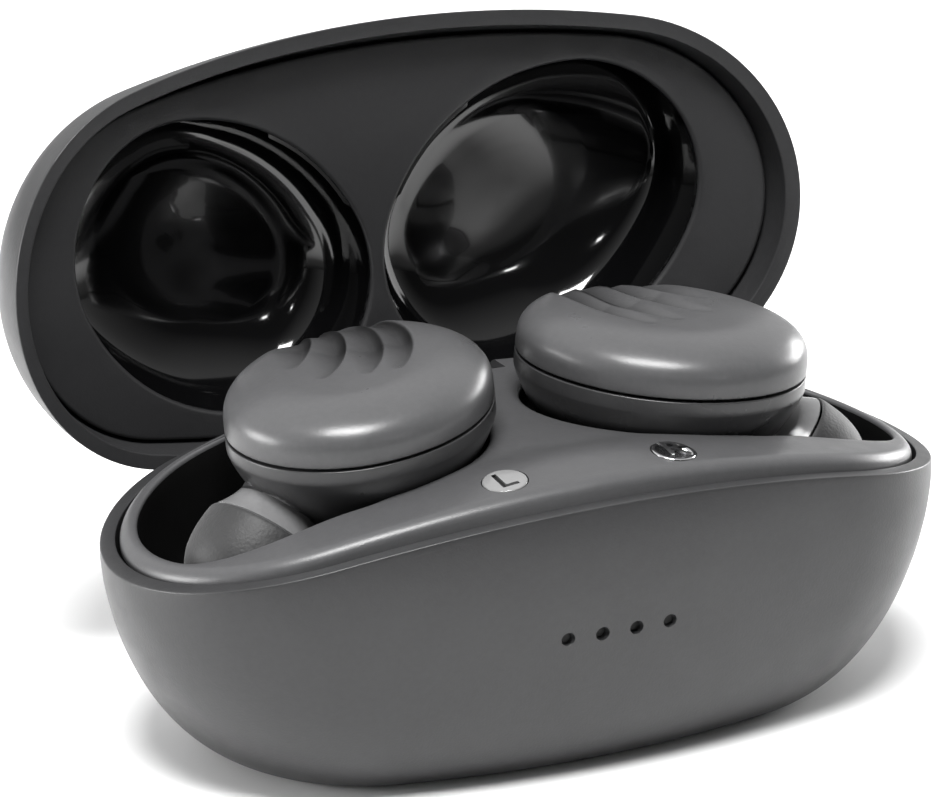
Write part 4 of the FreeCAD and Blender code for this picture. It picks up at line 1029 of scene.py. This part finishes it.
def housing(side):
    """The earbud's body: a short band, a pointed bowl and the neck that carries the nozzle, with a
    painted highlight on the neck's flare.
    """
    top = GAP_LEVEL - HALF_GAP
    rings = [level_ring(bud_oval(SEAM_INSET), top)]
    edge_base, corner = level_ring(bud_oval(SEAM_EDGE), top), level_ring(bud_oval(0), top)
    rings += rounded(edge_base, corner, level_ring(bud_oval(0), BAND_END), EDGE_ROUND, 4)
    rings.append(level_ring(bud_oval(0), BAND_END + 0.3))
    deepest = HOUSING_DEPTH + BAND_END
    for inset, rise in shoulder(HOUSING_STEPS, HOUSING_FULLNESS):
        shrink = min(HOUSING_INSET * inset, HOUSING_TUCK_LIMIT)
        rings.append(level_ring(bud_oval(shrink), BAND_END - rise * deepest))
    vertices, faces = skin(rings)
    obj = piece(
        f"earbud_body_{side}", for_side(vertices, side), faces, f"earbud_{side}",
        "bud_plastic", crease=50,
    )
    profile = smooth_profile(NECK_CURVE, 4) + [np.array(p) for p in NECK_END]
    neck_vertices, neck_faces = skin(turned_rings(profile))
    neck_points = for_side(neck_vertices, side, NOZZLE_PLACE)
    cut_away(obj, cutter(f"neck_{side}", neck_points, neck_faces), operation="UNION")
    # Faces of the neck's flare behind the tip get the lighter grey of a painted highlight.
    obj.data.materials.append(MATERIALS["collar_painted_highlight"])
    along = NOZZLE_PLACE.inverted()
    for polygon in obj.data.polygons:
        at = polygon.center / MM
        at.x = -abs(at.x)
        at = along @ at
        if COLLAR_START < at.z < COLLAR_END and math.hypot(at.x, at.y) < COLLAR_REACH:
            polygon.material_index = 1
    return finish_piece(obj, f"earbud_housing_{side}")


TIP_START = COLLAR_END + 0.05
TIP_OUTSIDE = (
    (TIP_RADIUS - 0.32, TIP_START), (TIP_RADIUS - 0.18, TIP_START + 0.35),
    (TIP_RADIUS - 0.06, TIP_START + 1.3), (TIP_RADIUS, TIP_START + 2.7),
    (TIP_RADIUS - 0.2, TIP_START + 4.4), (5.25, TIP_START + 6.0), (4.35, TIP_END - 1.1),
    (3.4, TIP_END - 0.25), (2.75, TIP_END - 0.02), (2.35, TIP_END - 0.12), (2.15, TIP_END - 0.6),
)
TIP_INSIDE = (
    (2.3, 18.45), (2.65, 18.3), (2.65, TIP_START + 0.3), (3.4, TIP_START + 0.1),
    (3.6, TIP_END - 3.4), (4.6, TIP_END - 4.2), (5.3, TIP_END - 6.6), (5.45, TIP_START + 0.2),
)


def ear_tip(side):
    """A soft mushroom tip that sits over the nozzle's end."""
    profile = smooth_profile(TIP_OUTSIDE, 5) + smooth_profile(TIP_INSIDE, 3)
    profile.append(profile[0])
    rings = turned_rings(profile, 112)
    vertices, faces = skin(rings, close_first=False, close_last=False)
    obj = piece(
        f"silicone_tip_{side}", for_side(vertices, side, NOZZLE_PLACE), faces,
        f"earbud_{side}", "tip_rubber", weld=0.001, crease=60,
    )
    return finish_piece(obj, f"ear_tip_{side}")


# ---- side marks -------------------------------------------------------------------------------

LETTER_SIZE, LETTER_DEPTH, LETTER_WEIGHT, LETTER_LIFT, LETTER_WELD = 3.7, 0.25, 0.06, 0.05, 0.0001
DISC_THICKNESS, DISC_PROUD, DISC_EDGE = 0.6, 0.06, 0.15


def letter_cutter(letter, place):
    """A plain side letter as a solid to engrave with."""
    curve = bpy.data.curves.new(f"letter_{letter}", "FONT")
    curve.body = letter
    curve.size = LETTER_SIZE * MM
    curve.extrude = LETTER_DEPTH * MM
    curve.offset = LETTER_WEIGHT * MM
    curve.align_x, curve.align_y = "CENTER", "CENTER"
    text = add_object(f"letter_{letter}", curve)
    mesh = bpy.data.meshes.new_from_object(
        text.evaluated_get(bpy.context.evaluated_depsgraph_get())
    )
    bpy.data.objects.remove(text, do_unlink=True)
    points = [np.array(v.co) / MM for v in mesh.vertices]
    lift = np.array([0, 0, LETTER_LIFT])
    faces = [tuple(p.vertices) for p in mesh.polygons]
    solid = cutter(f"engrave_{letter}", placed(np.array(points) + lift, place), faces)
    clean_mesh(solid.data, LETTER_WELD)
    return solid


def side_mark(side, letter, slot):
    """A round inlay with an engraved side letter."""
    sign = -1 if side == "left" else 1
    profile = [(MARK_RADIUS, -DISC_THICKNESS)]
    for inset, drop in quarter(DISC_EDGE, 5)[::-1]:
        profile.append((MARK_RADIUS - inset, DISC_PROUD - drop))
    vertices, faces = skin(turned_rings(profile, 96))
    place = mark_place(sign)
    points = placed(np.array(vertices), place)
    obj = piece(f"side_disc_{side}", points, faces, "base", slot)
    cut_away(obj, letter_cutter(letter, place))
    obj.data.materials.append(MATERIALS["mark_ink"])
    local = place.inverted()
    for polygon in obj.data.polygons:
        at = local @ (polygon.center / MM)
        if -0.5 < at.z < DISC_PROUD / 2 and math.hypot(at.x, at.y) < MARK_RADIUS - 0.3:
            polygon.material_index = 1
    return finish_piece(obj, f"side_mark_{side}")


# ---- what stays as the CAD has it -------------------------------------------------------------


def dress_cad_nodes():
    """Every carried-over CAD node gets its slot's finished material."""
    slots = {sub["node"]: sub["material_slot"] for sub in frame["record"]["subparts"]}
    for node, obj in frame["nodes"].items():
        material = MATERIALS[slots[node]]
        if node == "hinge_arm":
            material = MATERIALS["hinge_plastic"]
        for slot in obj.material_slots:
            slot.material = material


# ---- floor, light and camera ------------------------------------------------------------------

# The floor's colour falls from FLOOR_BRIGHT to FLOOR_DIM away from the object, a painted pool of
# light.
FLOOR_BRIGHT, FLOOR_DIM, FLOOR_REACH = 0.92, 0.10, (0.13, 0.36)
FLOOR_CENTRE, FLOOR_SIZE = (0.03, 0.07, 0), 8
FRONT_GLOW, BACK_GLOW, GLOW_RANGE = 0.04, 0.9, (-0.75, 0.35)
LIGHT_TARGET = (0, 0, 0.03)
LIGHTS = (
    ("top_box", (-0.15, -0.24, 0.86), (0.42, 0.30), 14),
    ("left_box", (-0.85, 0.32, 0.10), (0.5, 0.4), 9),
    ("right_box", (0.85, 0.32, 0.10), (0.5, 0.4), 8),
    ("window_left", (-0.30, -0.80, 0.40), (0.055, 0.04), 0.16),
    ("window_right", (0.25, -0.85, 0.30), (0.055, 0.04), 0.16),
)
CAMERA_PLACE, LENS, SENSOR = (-0.3472, -0.7124, 0.3366), 356.3, 36
CAMERA_RIGHT, CAMERA_UP = (0.8989, -0.4381, 0.0), (0.1626, 0.3335, 0.9287)
AIM_HEIGHT, AIM_RIGHT, AIM_UP = 0.020, -0.00418, 0.0095


def floor_material():
    """A pale matte floor with a painted pool of light: palest round the object, dimming away from
    it.
    """
    material = bpy.data.materials.new("floor_painted_light_pool")
    material.use_nodes = True
    nodes, links = material.node_tree.nodes, material.node_tree.links
    shader = nodes["Principled BSDF"]
    set_inputs(shader, Roughness=0.7)
    length = nodes.new("ShaderNodeVectorMath")
    length.operation = "LENGTH"
    links.new(nodes.new("ShaderNodeTexCoord").outputs["Object"], length.inputs[0])
    fall = nodes.new("ShaderNodeMapRange")
    fall.interpolation_type = "SMOOTHSTEP"
    near, far = FLOOR_REACH
    set_inputs(fall, From_Min=near, From_Max=far, To_Min=FLOOR_BRIGHT, To_Max=FLOOR_DIM)
    links.new(length.outputs["Value"], fall.inputs["Value"])
    links.new(fall.outputs["Result"], shader.inputs["Base Color"])
    return material


def stage():
    """The studio floor, which isn't part of the object."""
    bpy.ops.mesh.primitive_plane_add(size=FLOOR_SIZE, location=FLOOR_CENTRE)
    floor = bpy.context.object
    floor.name = "studio_floor"
    floor.data.materials.append(floor_material())


def soft_light(name, position, size, power):
    """A white rectangular softbox aimed at the object, in metres and watts."""
    data = bpy.data.lights.new(name, "AREA")
    data.shape = "RECTANGLE"
    data.size, data.size_y = size
    data.energy = power
    light = add_object(name, data)
    light.location = position
    direction = Vector(LIGHT_TARGET) - Vector(position)
    light.rotation_euler = direction.to_track_quat("-Z", "Y").to_euler()


def lighting():
    """A room that is dark in front and bright behind, and the softboxes."""
    world = bpy.data.worlds.new("studio")
    bpy.context.scene.world = world
    world.use_nodes = True
    nodes, links = world.node_tree.nodes, world.node_tree.links
    direction = nodes.new("ShaderNodeSeparateXYZ")
    links.new(nodes.new("ShaderNodeTexCoord").outputs["Generated"], direction.inputs["Vector"])
    room = nodes.new("ShaderNodeMapRange")
    front, back = GLOW_RANGE
    set_inputs(room, From_Min=front, From_Max=back, To_Min=FRONT_GLOW, To_Max=BACK_GLOW)
    links.new(direction.outputs["Y"], room.inputs["Value"])
    links.new(room.outputs["Result"], nodes["Background"].inputs["Strength"])
    set_inputs(nodes["Background"], Color=(1, 1, 1, 1))
    for light in LIGHTS:
        soft_light(*light)
    bpy.context.scene.view_settings.view_transform = "Standard"


def camera():
    """The camera looks down on the case from the front left through a long lens."""
    position = Vector(CAMERA_PLACE)
    aim = Vector((0, 0, AIM_HEIGHT)) + Vector(CAMERA_RIGHT) * AIM_RIGHT + Vector(CAMERA_UP) * AIM_UP
    data = bpy.data.cameras.new("camera")
    data.sensor_width = SENSOR
    data.lens = LENS
    data.clip_start, data.clip_end = 0.05, 20
    obj = add_object("camera", data)
    obj.location = position
    back = (position - aim).normalized()
    side = Vector((0, 0, 1)).cross(back).normalized()
    turn = Matrix((side, back.cross(side), back)).transposed()
    obj.rotation_euler = turn.to_euler()
    bpy.context.scene.camera = obj


# ---- the object -------------------------------------------------------------------------------

dress_cad_nodes()
base_shell()
lid_shell()
tray()
liner()
for SIDE in ("left", "right"):
    cup(SIDE)
    cap(SIDE)
    housing(SIDE)
    ear_tip(SIDE)
side_mark("left", "L", "mark_plastic")
side_mark("right", "R", "mark_metal")
stage()
lighting()
camera()
